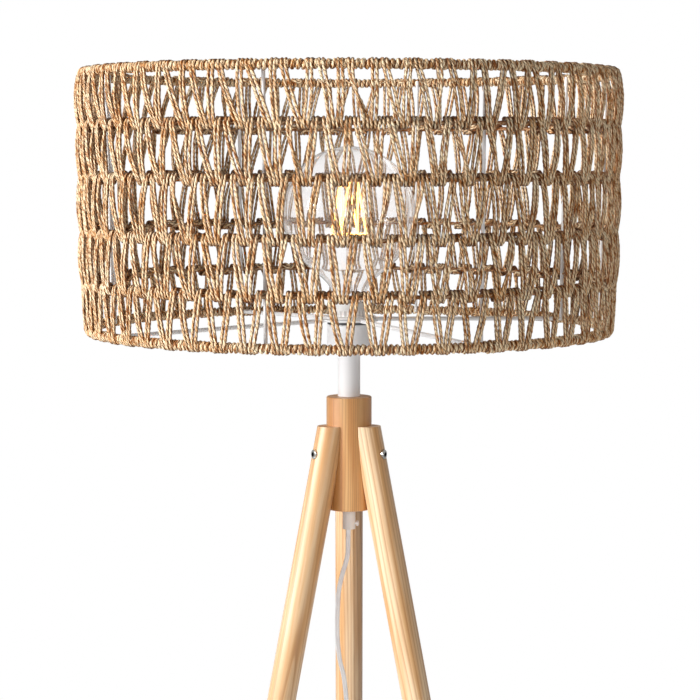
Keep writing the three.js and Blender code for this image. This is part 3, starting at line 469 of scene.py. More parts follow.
class Recipe(Net):
    """A Geometry Nodes tree with named inputs."""

    def __init__(self, name):
        super().__init__(bpy.data.node_groups.new(name, "GeometryNodeTree"))
        self.entry = self.tree.nodes.new("NodeGroupInput")
        self.exit = self.tree.nodes.new("NodeGroupOutput")
        self.ask("Geometry", "Geometry")
        self.tree.interface.new_socket("Geometry", in_out="OUTPUT", socket_type="NodeSocketGeometry")

    def ask(self, name, kind, default=None):
        """Adds a named input and returns it."""
        socket = self.tree.interface.new_socket(name, in_out="INPUT", socket_type=f"NodeSocket{kind}")
        if default is not None:
            socket.default_value = default
        return Value(self, self.entry.outputs[name])

    def ask_all(self, defaults):
        """Adds a named input for each default, and returns them by name."""
        kinds = {int: "Int", float: "Float"}
        return {name: self.ask(name, kinds[type(value)], value) for name, value in defaults.items()}

    def end(self, geometry, material):
        """Realizes what the tree made, gives it its material and sends it out."""
        smooth = self.add("GeometryNodeSetShadeSmooth", Geometry=geometry)
        real = self.add("GeometryNodeRealizeInstances", Geometry=smooth)
        painted = self.add("GeometryNodeSetMaterial", Geometry=real, Material=material)
        self.feed(self.exit.inputs[0], painted)
        return self.tree

    def away_from_axis(self):
        """The level direction from the lamp's axis to each point."""
        here = self.add("GeometryNodeInputPosition")
        return self.vectors("NORMALIZE", self.vectors("MULTIPLY", here, (1, 1, 0)))

    def keep(self, geometry, name, value, kind="FLOAT"):
        """Stores a value on the points under a name that materials read."""
        settings = {"data_type": kind, "domain": "POINT"}
        return self.add(
            "GeometryNodeStoreNamedAttribute", Geometry=geometry, Name=name, Value=value, **settings)

    def kept(self, name, kind):
        return self.add("GeometryNodeInputNamedAttribute", Name=name, data_type=kind)


def lay_twine(recipe, curve, sizes, material, outwards):
    """Sweeps a tube along a curve and presses the grooves between its twisted plies into it."""
    curve = recipe.add("GeometryNodeCurveSplineType", Curve=curve, spline_type="CATMULL_ROM")
    curve = recipe.add("GeometryNodeResampleCurve", Curve=curve, Length=sizes["Step"], mode="LENGTH")
    place = recipe.add("GeometryNodeInputPosition")
    seeded = recipe.vectors("ADD", place, recipe.vector(z=sizes["Seed"]))
    drift = recipe.noise(seeded, 90.0, detail=2.0, output="Color")
    drift = recipe.vectors("SUBTRACT", drift, (0.5, 0.5, 0.5))
    drift = recipe.vectors("SCALE", drift, sizes["Unevenness"] * 2.0)
    curve = recipe.add("GeometryNodeSetPosition", Geometry=curve, Offset=drift)
    turns = (recipe.add("GeometryNodeSplineLength") / sizes["Lay Length"]).math("ROUND")
    twist = recipe.add("GeometryNodeSplineParameter", output="Factor") * turns
    curve = recipe.keep(curve, "twist", twist)
    swelling = recipe.noise(seeded, 200.0, detail=1.0)
    radius = sizes["Diameter"] * (swelling * 0.3 + 0.35)
    circle = {"Resolution": sizes["Sides"], "Radius": 1.0}
    section = recipe.add("GeometryNodeCurvePrimitiveCircle", mode="RADIUS", **circle)
    section = recipe.keep(section, "around", place, "FLOAT_VECTOR")
    body = recipe.add("GeometryNodeCurveToMesh", Curve=curve, Profile_Curve=section, Scale=radius)
    around, stored = recipe.kept("around", "FLOAT_VECTOR"), recipe.kept("twist", "FLOAT")
    across = recipe.turn(around, stored * FULL_TURN)
    # How squarely each point faces the outward direction, kept as facing, from which the twine finish paints
    # shade on the strands' sides.
    normal = recipe.add("GeometryNodeInputNormal")
    facing = recipe.vectors("DOT_PRODUCT", normal, outwards, output=1)
    body = recipe.keep(body, "facing", facing.math("ABSOLUTE"))
    pressed = (recipe.ridge(across, sizes["Plies"]) - 1) * sizes["Groove Depth"] * sizes["Diameter"] / 2.0
    pressed = recipe.vectors("SCALE", normal, pressed)
    body = recipe.add("GeometryNodeSetPosition", Geometry=body, Offset=pressed)
    return recipe.end(body, material)


def twine_sizes(recipe, diameter, lay, step, plies=2.0, sides=8, depth=0.28):
    """The inputs that every twine has. Its diameter, lay and step are given in millimetres."""
    return recipe.ask_all({
        "Diameter": diameter * MM, "Lay Length": lay * MM, "Step": step * MM, "Plies": plies, "Sides": sides,
        "Groove Depth": depth, "Unevenness": 0.2 * MM, "Seed": 0.0,
    })


def route_recipe():
    """Twine along the edges of a mesh, each loop of edges one strand."""
    recipe = Recipe("Twine along a route")
    sizes = twine_sizes(recipe, 3.3, 6.8, 1.42)
    material = recipe.ask("Material", "Material")
    source = Value(recipe, recipe.entry.outputs["Geometry"])
    curve = recipe.add("GeometryNodeMeshToCurve", Mesh=source)
    return lay_twine(recipe, curve, sizes, material, recipe.away_from_axis())


def winding_recipe():
    """Twine wound round a ring, turn beside turn, with a knot in one place."""
    recipe = Recipe("Twine wound round a ring")
    asked = recipe.ask_all({
        "Ring Radius": 0.245, "Height": 1.0, "Winding Radius": 2.7 * MM, "Turns": 326.0,
        "Points per Turn": 10.0, "Knot Place": -1.0, "Knot Size": 1.4 * MM,
    })
    ring, height, winding, turns, per_turn, knot, knot_size = asked.values()
    sizes = twine_sizes(recipe, 4.6, 7.4, 1.35, depth=0.32)
    material = recipe.ask("Material", "Material")
    count = turns * per_turn
    line = recipe.add("GeometryNodeMeshLine", Count=count)
    index = recipe.add("GeometryNodeInputIndex")
    share = index / count
    major = share * FULL_TURN
    jolt = recipe.add("ShaderNodeTexNoise", W=index, Scale=0.08, Detail=1.0, noise_dimensions="1D")
    minor = share * turns * FULL_TURN + jolt * 1.6
    slip = recipe.add("ShaderNodeTexNoise", W=index + 7.5, Scale=0.05, noise_dimensions="1D")
    near = 1 - (share - knot).math("ABSOLUTE").ramp(0.001, 0.005)
    swing = winding * (slip * 0.3 + 0.85) + near * knot_size
    reach = ring + minor.math("COSINE") * swing
    rise = height + minor.math("SINE") * swing
    place = recipe.vector(reach * major.math("COSINE"), reach * major.math("SINE"), rise)
    line = recipe.add("GeometryNodeSetPosition", Geometry=line, Position=place)
    curve = recipe.add("GeometryNodeMeshToCurve", Mesh=line)
    curve = recipe.add("GeometryNodeSetSplineCyclic", Geometry=curve, Cyclic=True)
    core = recipe.vectors("SCALE", recipe.away_from_axis(), ring)
    core = recipe.vectors("ADD", core, recipe.vector(z=height))
    here = recipe.add("GeometryNodeInputPosition")
    outwards = recipe.vectors("NORMALIZE", recipe.vectors("SUBTRACT", here, core))
    return lay_twine(recipe, curve, sizes, material, outwards)


def cooked(name, mesh, recipe, inputs):
    """Runs a recipe on a mesh and returns the plain mesh that it makes."""
    holder = linked(name, mesh)
    modifier = holder.modifiers.new(recipe.name, "NODES")
    modifier.node_group = recipe
    sockets = {item.name: item.identifier for item in recipe.interface.items_tree if item.in_out == "INPUT"}
    for key, value in inputs.items():
        modifier[sockets[key]] = value
    depsgraph = bpy.context.evaluated_depsgraph_get()
    result = bpy.data.meshes.new_from_object(holder.evaluated_get(depsgraph), depsgraph=depsgraph)
    bpy.data.objects.remove(holder)
    result.name = name
    return result


def loops_mesh(name, loops):
    """Closed loops of points as a mesh of edges."""
    points, edges = [], []
    for loop in loops:
        start = len(points)
        points += loop
        edges += [(start + i, start + (i + 1) % len(loop)) for i in range(len(loop))]
    return mesh_from(name, points, edges=edges)


# The weave

# Lengths are in millimetres here. A tuple with five entries has one for each tier, from the lowest up.
BAND_SHARES = (0, 0.1847, 0.3843, 0.5966, 0.7962, 1)  # heights of the bands between the two rings
TIER_STANDOUTS = (7.4, 9.1, 9.3, 9.1, 9.6)  # of a tier's middle over the line between its bands
TIER_SHIFTS = (10.9, 9.2, 7.2, 3.6, -2.3)  # of the first peak from the front
# What share of the pitch the bottoms are late at the front, and how much less on the right.
TIER_SKEWS = ((0, 0.02), (0, 0.05), (0.04, 0.1), (0.13, 0.2), (0.16, 0.28))
BAND_STANDOUT = 1.0  # of a band's middle over the line between the rings
RIM_WRAP = 4.0  # from the middle of a rim to the strands round it
BAND_WRAP = 4.4
STRAIGHT_STANDOUT = 5.3  # what a strand without a bow stands out
PAIR_HALF_GAP = 1.62  # from the middle of a pair to each strand
KNOT_PLACES = {"lower": 0.8317, "upper": 0.31}  # shares of the way round a rim
TOP_HALF_WIDTH = 4.2  # of a pair's hook over a band
BOTTOM_HALF_WIDTH = 2.9  # of a pair's hook under a band
HOOK_DEGREES = 150  # how far a strand goes round a band
HOOK_SPREAD = 18  # how many degrees further the outer strand goes, and the inner one less
HOOK_STEPS = 12
LEG_STEPS = 12
CROSSING_LIFT = 1.4
PEAKS_PER_TWO_CROSSINGS = 14  # an even number of crossings, so that each strand meets its own end
PEAK_JITTER = 1.2
SWAY = 0.7
WIDEST_GAP = 0.5
ROPE_STEPS = 360
ROPE_SWAY = 0.3
ROPE_RISE = 0.7
LINING_RADIUS = 3.0  # of the rope under a rim's winding
LINING_SIDES = 12


class Band:
    """A ring that the strands of a tier hook round: where its middle is, and how far from it they lie."""

    def __init__(self, share):
        self.is_rim = share in (0, 1)
        self.height = lerp(RING_HEIGHT["lower"], RING_HEIGHT["upper"], 0, 1, share)
        self.radius = lerp(RING_RADIUS["lower"], RING_RADIUS["upper"], 0, 1, share)
        if not self.is_rim:
            self.radius += BAND_STANDOUT * MM
        self.wrap = (RIM_WRAP if self.is_rim else BAND_WRAP) * MM


class Strand:
    """One of a tier's two strands, a closed zigzag. Its side is 1 where it lies outside at a peak, or -1."""

    def __init__(self, low, high, side):
        self.low = low
        self.high = high
        self.side = side
        self.radius = (low.radius + high.radius) / 2
        self.points = []

    def add(self, along, height, reach):
        self.points.append(Vector((*polar(reach, along / self.radius), height)))

    def hook(self, middle, half_width, band, over):
        """Round a band, over it and down behind it (over = 1) or the other way up (over = -1)."""
        spread = self.side * over
        half = half_width + spread * PAIR_HALF_GAP * MM
        deepest = math.radians(HOOK_DEGREES + HOOK_SPREAD * spread)
        for step in range(HOOK_STEPS + 1):
            share = step / HOOK_STEPS
            turn = deepest * math.sin(math.pi * share) ** 0.75
            along = middle - half * math.cos(math.pi * soft_share(share))
            height = band.height + over * band.wrap * math.sin(turn)
            self.add(along, height, band.radius + band.wrap * math.cos(turn))

    def leg(self, start, end, rise, bow, gap, sway, cross):
        """From band to band in front of them, up (rise = 1) or down (rise = -1)."""
        lower, upper = (self.low, self.high) if rise > 0 else (self.high, self.low)
        for step in range(1, LEG_STEPS):
            share = step / LEG_STEPS
            belly = math.sin(math.pi * share)
            eased = soft_share(share) if cross else share
            spread = 0 if cross else -self.side * rise * gap * belly
            lift = self.side * CROSSING_LIFT * MM * belly if cross else 0
            along = start + (end - start) * eased + spread + sway * belly
            height = lower.height + (upper.height - lower.height) * share
            reach = lerp(lower.radius + lower.wrap, upper.radius + upper.wrap, 0, 1, share)
            self.add(along, height, reach + bow * belly ** 0.8 + lift)


def tier_strands(tier, repeats, rng):
    """The two strands of a tier, side by side up and down all the way round."""
    low, high = (Band(share) for share in BAND_SHARES[tier:tier + 2])
    pair = [Strand(low, high, 1), Strand(low, high, -1)]
    radius = pair[0].radius
    pitch = FULL_TURN * radius / repeats
    begin = -math.pi / 2 * radius + TIER_SHIFTS[tier] * MM
    skew, skew_change = TIER_SKEWS[tier]
    bow = (TIER_STANDOUTS[tier] - PAIR_HALF_GAP - STRAIGHT_STANDOUT) * MM
    crossings = set(rng.sample(range(2 * repeats), 2 * (repeats // PEAKS_PER_TWO_CROSSINGS)))
    tops, bottoms, top_halves, bottom_halves = [], [], [], []
    for k in range(repeats):
        here = begin + k * pitch
        lean = skew - skew_change * math.cos(here / radius)
        tops.append(here + rng.gauss(0, PEAK_JITTER) * MM)
        bottoms.append(here + (0.5 + lean) * pitch + rng.gauss(0, PEAK_JITTER) * MM)
        top_halves.append(TOP_HALF_WIDTH * MM * rng.uniform(0.8, 1.2))
        bottom_halves.append(BOTTOM_HALF_WIDTH * MM * rng.uniform(0.8, 1.25))
    whole = repeats * pitch
    for k in range(repeats):
        before = bottoms[k - 1] - (whole if k == 0 else 0)
        for rise in (1, -1):
            gap = rng.uniform(0, WIDEST_GAP) * MM
            sway = rng.gauss(0, SWAY) * MM
            swell = rng.uniform(0.7, 1.25)
            cross = 2 * k + (rise < 0) in crossings
            for strand in pair:
                from_side = strand.side * PAIR_HALF_GAP * MM
                to_side = -from_side if cross else from_side
                if rise > 0:
                    start, end = before + bottom_halves[k - 1] - from_side, tops[k] - top_halves[k] - to_side
                else:
                    start, end = tops[k] + top_halves[k] + from_side, bottoms[k] - bottom_halves[k] + to_side
                strand.leg(start, end, rise, bow * swell, gap, sway, cross)
                if cross:
                    strand.side = -strand.side
                if rise > 0:
                    strand.hook(tops[k], top_halves[k], strand.high, 1)
                else:
                    strand.hook(bottoms[k], bottom_halves[k], strand.low, -1)
    return [strand.points for strand in pair]


def rope_route(band, place):
    """The slightly uneven ring of the rope inside a band."""
    loop = []
    for step in range(ROPE_STEPS):
        x, y = polar(1, FULL_TURN * step / ROPE_STEPS)
        reach = band.radius + ROPE_SWAY * MM * noise.noise(Vector((x * 9, y * 9, place * 3.1)))
        height = band.height + ROPE_RISE * MM * noise.noise(Vector((x * 7, y * 7, 9 + place)))
        loop.append(Vector((reach * x, reach * y, height)))
    return loop


# Settings

def length_setting(name, description, default, low, high):
    """A length for the user to set, with its default and limits in millimetres."""
    return FloatProperty(
        name=name, description=description, default=default * MM, min=low * MM, max=high * MM,
        precision=4, unit="LENGTH")


def colour_setting(name, description, colour):
    return FloatVectorProperty(
        name=name, description=description, default=srgb(*colour), size=3, min=0, max=1, subtype="COLOR")


class LampSizes(bpy.types.PropertyGroup):
    """Sizes of the pieces that the scene adds."""

    strand_diameter: length_setting(
        "Strand Diameter", "Thickness of a twisted strand of the weave", 3.15, 2, 6)
    lay_length: length_setting("Lay Length", "Length in which the plies of a strand turn once", 9.2, 4, 20)
    core_diameter: length_setting("Core Diameter", "Thickness of the rope inside each band", 4.2, 3, 7)
    repeats: IntProperty(
        name="Repeats", description="Peaks of a tier's zigzag round the shade", default=56, min=20, max=90)
    globe_diameter: length_setting("Globe Diameter", "Outer width of the bulb's globe", 125, 80, 130)
    cord_width: length_setting("Cord Width", "Width of the flat twin cord", 4.4, 3, 8)
    cord_thickness: length_setting("Cord Thickness", "Thickness of the flat twin cord", 2.5, 1.5, 5)


class LampLook(bpy.types.PropertyGroup):
    """Colours and light."""

    twine: colour_setting("Twine", "Main colour of the twine", (233, 166, 88))
    twine_pale: colour_setting("Pale Twine", "Lighter fibres of the twine", (255, 238, 203))
    twine_dark: colour_setting("Dark Twine", "Darker fibres of the twine", (126, 62, 12))
    # The colour of the painted shade in the twine's grooves.
    twine_groove_shade: colour_setting("Twine Groove Shade", "Grooves between the plies of the twine", (40, 14, 2))
    pine: colour_setting("Wood", "Main colour of the wood", (214, 161, 100))
    pine_pale: colour_setting("Pale Wood", "Wood between its growth lines", (242, 212, 172))
    pine_dark: colour_setting("Wood Grain", "Growth lines and pores of the wood", (176, 110, 48))
    pine_warm: colour_setting("Warm Wood", "Tint of the hub's darker wood", (236, 209, 160))
    glow: FloatProperty(name="Glow", description="Strength of the lit filaments", default=3.2, min=0, max=100)


# Stage

CAMERA_PLACE = (0.0009, -2.0339, 1.2922)
CAMERA_TILT = math.radians(5.101)  # downwards
LENS = 111.62
WORLD_LIGHT = 0.13  # strength of the background as a light
REFLECTED_WHITE = 0.3  # share of the full white that reflections show
LAMPS = (
    ("Key", (-2.8, -1.3, 2.0), 1.4, 146.0),
    ("Fill", (0.9, -3.1, 1.5), 1.6, 29.0),
    ("Back", (1.4, 2.6, 2.3), 1.8, 14.0),
)
LAMP_AIM = Vector((0, 0, 1.1))
GLOW_POWER = 0.6
FLOOR_RADIUS = 2.6
FLOOR_SIDES = 96
FLOOR_WHITE = 0.45  # share of white that the camera sees in the floor, over its shadows


def add_camera(scene):
    data = bpy.data.cameras.new("Camera")
    data.lens, data.sensor_width = LENS, 36
    data.clip_end = 50
    camera = linked("Camera", data)
    camera.location = CAMERA_PLACE
    camera.rotation_euler = (math.radians(90) - CAMERA_TILT, 0, 0)
    scene.camera = camera


def add_background(scene):
    """White where it is seen, and a faint light from all round."""
    world = bpy.data.worlds.new("Studio")
    world.use_nodes = True
    scene.world = world
    net = Net(world.node_tree)
    net.tree.nodes.clear()
    path = net.tree.nodes.new("ShaderNodeLightPath")
    kinds = ("Camera", "Transmission", "Glossy")
    camera, through, glossy = (Value(net, path.outputs[f"Is {kind} Ray"]) for kind in kinds)
    direct = camera.math("MAXIMUM", through).math("MAXIMUM", glossy * REFLECTED_WHITE)
    soft = net.add("ShaderNodeBackground", Color=(1, 0.99, 0.98, 1), Strength=WORLD_LIGHT)
    shown = net.add("ShaderNodeBackground", Color=(1, 1, 1, 1), Strength=1.0)
    mix = net.add("ShaderNodeMixShader", {0: direct, 1: soft, 2: shown})
    net.add("ShaderNodeOutputWorld", {0: mix})


def add_lights():
    for name, place, width, power in LAMPS:
        light = bpy.data.lights.new(name, "AREA")
        light.shape, light.size, light.energy = "DISK", width, power
        lamp = linked(name, light)
        lamp.visible_glossy = name == "Key"
        lamp.location = place
        lamp.rotation_euler = (LAMP_AIM - Vector(place)).to_track_quat("-Z", "Y").to_euler()
    warm = bpy.data.lights.new("Bulb glow", "POINT")
    warm.color, warm.energy, warm.shadow_soft_size = srgb(255, 180, 90), GLOW_POWER, 20 * MM
    glow = linked("Bulb glow", warm)
    glow.location = (0, 0, middle_height("filament_cage"))
    glow.visible_glossy = glow.visible_transmission = False


def add_floor():
    """A pale disc that takes the lamp's shadows."""
    finish = Finish("Floor", srgb(240, 240, 239), Roughness=0.7, Specular_IOR_Level=0.2)
    cloud = finish.noise(finish.place(), 2.0, detail=2.0)
    finish.surface(Base_Color=finish.blend(cloud, srgb(238, 238, 237), srgb(243, 243, 242)))
    white = finish.add("ShaderNodeEmission", Color=(1, 1, 1, 1), Strength=1.0)
    share = finish.add("ShaderNodeLightPath", output="Is Camera Ray") * FLOOR_WHITE
    lit = Value(finish, finish.shader.outputs[0])
    paler = finish.add("ShaderNodeMixShader", {0: share, 1: lit, 2: white})
    finish.feed(finish.output.inputs[0], paler)
    rim = [(*polar(FLOOR_RADIUS, FULL_TURN * i / FLOOR_SIDES), 0) for i in range(FLOOR_SIDES)]
    floor = linked("Floor", mesh_from("Floor", rim, [tuple(range(FLOOR_SIDES))]))
    floor.data.materials.append(finish.material)


class LAMP_OT_stage(bpy.types.Operator):
    """Adds the camera, the lights, the background and the floor."""

    bl_idname = "lamp.stage"
    bl_label = "Stage"

    def execute(self, context):
        context.scene.view_settings.view_transform = "Standard"
        add_camera(context.scene)
        add_background(context.scene)
        add_lights()
        add_floor()
        return {"FINISHED"}


# Cords

# Lengths are in millimetres here.
CORD_STEP = 3
HANGING = (
    (-0.5, 0, 940.4), (-0.8, 0, 930), (-1.6, 0, 914), (-6.1, 0, 898), (-9.6, 0, 882), (-10.8, 0, 865),
    (-11.3, 0, 847), (-10.6, 0, 829), (-8.6, 0, 813), (-5.4, -0.5, 800), (-3.0, -1, 781),
    (-1.0, -2, 750), (2.5, -4, 700), (5.5, -6, 640), (5.0, -7, 570), (1.0, -6, 490), (-3.0, -4, 400),
    (-4.0, -2, 310), (-1.0, -1, 225), (3.5, -3, 150), (6.5, -10, 90), (7.6, -26, 42), (8, -48, 17),
    (8, -66, 8), (8, -79.7, 5.5),
)
ON_FLOOR = (
    (8, -146.3, 5.5), (8, -156, 4.6), (10, -170, 3.2), (17.5, -187, 2.6), (31, -202, 2.4),
    (49, -211.5, 2.35), (69, -214.5, 2.35), (89, -211.5, 2.35), (107, -202, 2.35), (120, -187, 2.35),
    (126, -169, 2.35), (127.6, -148, 2.35), (127.7, -120, 2.35), (127.7, -95, 2.35), (127.7, -75, 2.35),
)
COIL_CENTRE = (93.05, -70)
COIL_INNER = 17.5  # radius of its innermost half turn
COIL_PITCH = 4.9
COIL_TURNS = 6.5
LAYER_TURNS = 0.5  # in which the cord changes layer
LAYER_HEIGHT = 3
LYING_HEIGHT = 2.35  # from the floor to the cord's middle
COIL_POINTS = 200
COIL_TAIL = (2.2, 4.7)  # how far along the straight end to the plug its points are
CORE_ARC = math.radians(122)  # of a core's round side, each way from its outermost point


def coil_route():
    """The wound cord's middle line: in, up a layer in the innermost half turn, and out again."""
    x, y = COIL_CENTRE
    middle = COIL_TURNS / 2
    route = []
    for i in range(COIL_POINTS + 1):
        turns = COIL_TURNS * i / COIL_POINTS
        past = max(0, abs(turns - middle) - LAYER_TURNS / 2)
        radius = COIL_INNER + COIL_PITCH * (past + soft_share(min(past / LAYER_TURNS, 1)) / 2)
        risen = min(max((turns - (middle - LAYER_TURNS / 2)) / LAYER_TURNS, 0), 1)
        across, over = polar(radius, FULL_TURN * turns)
        route.append((x + across, y + over, LYING_HEIGHT + LAYER_HEIGHT * risen))
    last = route[-1]
    return [*route, *((last[0], last[1] - tail, last[2]) for tail in COIL_TAIL)]


def metres(points):
    return [Vector(point) * MM for point in points]


def path_length(path):
    return sum((b - a).length for a, b in zip(path, path[1:]))


def twin_section(width, thickness, parts=7):
    """Two round cores side by side with a shallow groove between them, seen end on."""
    radius = thickness / 2
    offset = width / 2 - radius
    right = []
    for i in range(-parts, parts + 1):
        angle = CORE_ARC * i / parts
        right.append((offset + radius * math.cos(angle), radius * math.sin(angle)))
    left = [(-x, y) for x, y in reversed(right)]
    return right + left


class LAMP_OT_cords(bpy.types.Operator):
    """Adds the flat cord: hanging to the foot switch, and from there into the coil."""

    bl_idname = "lamp.cords"
    bl_label = "Cords"

    def execute(self, context):
        sizes = context.scene.lamp_sizes
        material = lead_finish()
        section = twin_section(sizes.cord_width, sizes.cord_thickness)
        route = spline(metres(HANGING), CORD_STEP * MM)
        upright = [(v, u) for u, v in section]
        mesh = swept("Hanging cord", route, upright, Vector((1, 0, 0)))
        hanging = finished("hanging_cord", mesh, material, "stand", "cord_white", "cord_hanging")
        length = path_length(route)
        lying = [*spline(metres(ON_FLOOR), CORD_STEP * MM)[:-1], *metres(coil_route())]
        mesh = swept("Lying cord", lying, section, Vector((0, 0, 1)))
        cord = finished("lying_cord", mesh, material, "stand", "cord_white", "cord_on_floor", "cord_coil")
        length = path_length(lying)
        return {"FINISHED"}


class LAMP_OT_cord_fittings(bpy.types.Operator):
    """Adds the foot switch, the plug with its blades and the coil's tie."""

    bl_idname = "lamp.cord_fittings"
    bl_label = "Cord Fittings"

    def execute(self, context):
        plastic = enamel_finish("Moulded white plastic", srgb(234, 234, 232), 0.42, 0.05)
        button = enamel_finish("Button plastic", srgb(238, 238, 236), 0.34, 0.03)
        for node in ("switch_base", "switch_cover", "plug_body"):
            smooth_copy(node, plastic, "white_plastic", degrees=40)
        smooth_copy("switch_button", button, "white_plastic", "foot_button")
        plating = metal_finish("Blade plating", srgb(206, 204, 198), 0.28, (1, 0.05, 1))
        for node in ("plug_blade_left", "plug_blade_right"):
            repaint(node, plating)
        repaint("coil_tie", plastic)
        return {"FINISHED"}


HUB_GRAIN_SHIFT = (0.012, 0.02, 0)


class LAMP_OT_wood(bpy.types.Operator):
    """Adds the turned hub, the three legs and their felt pads."""

    bl_idname = "lamp.wood"
    bl_label = "Hub and Legs"

    def execute(self, context):
        hub = pine_finish("Hub wood", location=HUB_GRAIN_SHIFT, seed=0.4, warmth=0.85, grain=760.0)
        smooth_copy("hub", hub, "pine")
        for i, (node, degrees) in enumerate(LEG_TURNS.items()):
            splay = Matrix.Rotation(SPLAY, 3, "Y")
            turn = splay @ Matrix.Rotation(-math.radians(degrees), 3, "Z")
            middle = splay @ Vector((FOOT_REACH, 0, 0))
            wood = pine_finish(f"Leg wood {i + 1}", turn.to_euler("XYZ"), -middle, seed=1.3 * i)
            smooth_copy(node, wood, "pine")
        felt = felt_finish()
        for side in LEGS:
            smooth_copy(f"foot_pad_{side}", felt, "felt")
        return {"FINISHED"}


SOCKET_RADIUS = 2.35 * MM
SOCKET_DEPTH = 1.9 * MM


def paint_socket_shade(mesh, turn):
    """Marks the faces of a bolt's hex socket for painted shade. The bolt lies along the given turn, its head
    outwards.
    """
    along = Vector((math.cos(turn), math.sin(turn), 0))
    heights = [corner.co.z for corner in mesh.vertices]
    height = (min(heights) + max(heights)) / 2
    head = max(corner.co.dot(along) for corner in mesh.vertices)
    marks = mesh.attributes.new("socket_shade", "FLOAT", "FACE").data
    for face, mark in zip(mesh.polygons, marks):
        reach = face.center.dot(along)
        aside = (face.center - along * reach - Vector((0, 0, height))).length
        mark.value = float(aside < SOCKET_RADIUS and reach > head - SOCKET_DEPTH)


class LAMP_OT_fixings(bpy.types.Operator):
    """Adds the legs' bolts and inserts, the stem's rod, nut and washer, and the lampholder's brass."""

    bl_idname = "lamp.fixings"
    bl_label = "Fixings"

    def execute(self, context):
        bright = metal_finish("Bright plating", srgb(214, 213, 208), 0.22)
        yellow = metal_finish("Plain brass", srgb(196, 160, 92), 0.34)
        steel = metal_finish("Plain steel", srgb(120, 121, 124), 0.36, (1, 1, 0.05))
        for side in LEGS:
            bolt = smooth_copy(f"leg_bolt_{side}", bright, "nickel")
            paint_socket_shade(bolt.data, math.radians(LEG_TURNS[f"leg_{side}"]))
            repaint(f"hub_insert_{side}", yellow)
        smooth_copy("threaded_rod", steel, "steel")
        repaint("hub_lock_nut", steel)
        smooth_copy("seat_washer", steel, "steel")
        for node in ("screw_shell", "centre_contact"):
            smooth_copy(node, yellow, "brass")
        return {"FINISHED"}


class LAMP_OT_white_parts(bpy.types.Operator):
    """Adds the stem, the cup, the lampholder, its lead, the cord grip with its screw and the ring nut."""

    bl_idname = "lamp.white_parts"
    bl_label = "White Parts"

    def execute(self, context):
        paint = enamel_finish("White paint", srgb(248, 247, 248), 0.38, 0.04)
        plastic = enamel_finish("White plastic", srgb(246, 244, 242), 0.44, 0.03)
        for node in ("stem_tube", "socket_cup", "grip_screw"):
            smooth_copy(node, paint, "white_metal")
        for node in ("cord_grip", "lampholder_body", "lampholder_base"):
            smooth_copy(node, plastic, "white_plastic")
        smooth_copy("shade_ring_nut", plastic, "white_plastic", "ring_nut")
        repaint("inner_lead", lead_finish())
        return {"FINISHED"}


class LAMP_OT_shade_frame(bpy.types.Operator):
    """Adds the shade's wire rings, upright wires and centre ring with its arms."""

    bl_idname = "lamp.shade_frame"
    bl_label = "Shade Frame"

    def execute(self, context):
        paint = enamel_finish("White wire paint", srgb(246, 245, 245), 0.36, 0.05)
        for i in range(8):
            smooth_copy(f"shade_strut_{i + 1}", paint, "white_metal", "shade", degrees=70)
        smooth_copy("shade_spider", paint, "white_metal", "shade", degrees=50)
        for ring in RINGS.values():
            smooth_copy(ring, paint, "white_metal", "shade", degrees=70)
        return {"FINISHED"}


GLOBE_TOP_TO_MIDDLE = 62.5 * MM
GLOBE_WALL = 0.9 * MM
GLOBE_ARC = math.radians(141)  # from the top to where the neck starts
GLOBE_STEPS = 36
NECK_STEP = 2.5 * MM


def globe_profile(radius):
    """The glass, outside and then back inside, down to the screw cap."""
    low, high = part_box("bulb_glass")
    centre = high.z - GLOBE_TOP_TO_MIDDLE
    arc = [GLOBE_ARC * i / GLOBE_STEPS for i in range(GLOBE_STEPS + 1)]
    outer = [(radius * math.sin(angle), centre + radius * math.cos(angle)) for angle in arc]
    # The neck's points are (radius, height above its lower end).
    neck = [Vector((r * MM, 0, low.z + rise * MM)) for r, rise in ((19, 15.7), (15.4, 5), (13.5, 0))]
    edge = Vector((outer[-1][0], 0, outer[-1][1]))
    shrink = 1 - GLOBE_WALL / radius
    inner = [(r * shrink, centre + (z - centre) * shrink) for r, z in outer]
    below = [(p.x, p.z) for p in spline([edge, *neck], NECK_STEP)[1:]]
    inner += [(r - GLOBE_WALL, z) for r, z in below]
    return [*outer, *below, *inner[::-1]]


def stem_profile():
    """The glass stem inside the bulb: a flare at its foot, a waist and a bead at its top."""
    low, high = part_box("glass_stem")
    foot, top, cap = low.z, high.z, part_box("bulb_cap")[1].z
    # Radius, starting height and rise over it. The radius and the rise are in millimetres.
    points = (
        (0, foot, 0), (9.5, foot, 0), (9.5, foot, 3), (8, foot, 9), (5.4, cap, -4), (3.9, cap, 4),
        (3.2, cap, 12), (2.6, top, -16), (2.3, top, -9), (3.2, top, -5), (3.4, top, -3), (2.4, top, -1.2),
        (0, top, 0),
    )
    return [(radius * MM, base + rise * MM) for radius, base, rise in points]


class LAMP_OT_bulb(bpy.types.Operator):
    """Adds the clear globe, its inner stem, the filaments and the screw cap."""

    bl_idname = "lamp.bulb"
    bl_label = "Bulb"

    def execute(self, context):
        glass = glass_finish()
        globe = turned("Globe", globe_profile(context.scene.lamp_sizes.globe_diameter / 2), 96, degrees=60)
        finished("globe", globe, glass, "bulb", "clear_glass", "bulb_glass")
        stem = turned("Inner stem", stem_profile(), 40, degrees=75)
        finished("inner_stem", stem, glass, "bulb", "clear_glass", "glass_stem")
        bright = metal_finish("Cap plating", srgb(205, 204, 200), 0.3)
        smooth_copy("bulb_cap", bright, "nickel", "bulb")
        black = enamel_finish("Black glass", srgb(28, 28, 30), 0.15)
        smooth_copy("cap_insulator", black, "black_glass", "bulb")
        smooth_copy("cap_tip", metal_finish("Tip solder", srgb(186, 180, 166), 0.35), "brass", "bulb")
        smooth_copy("filament_cage", filament_finish(), "filament", "bulb", degrees=60)
        return {"FINISHED"}


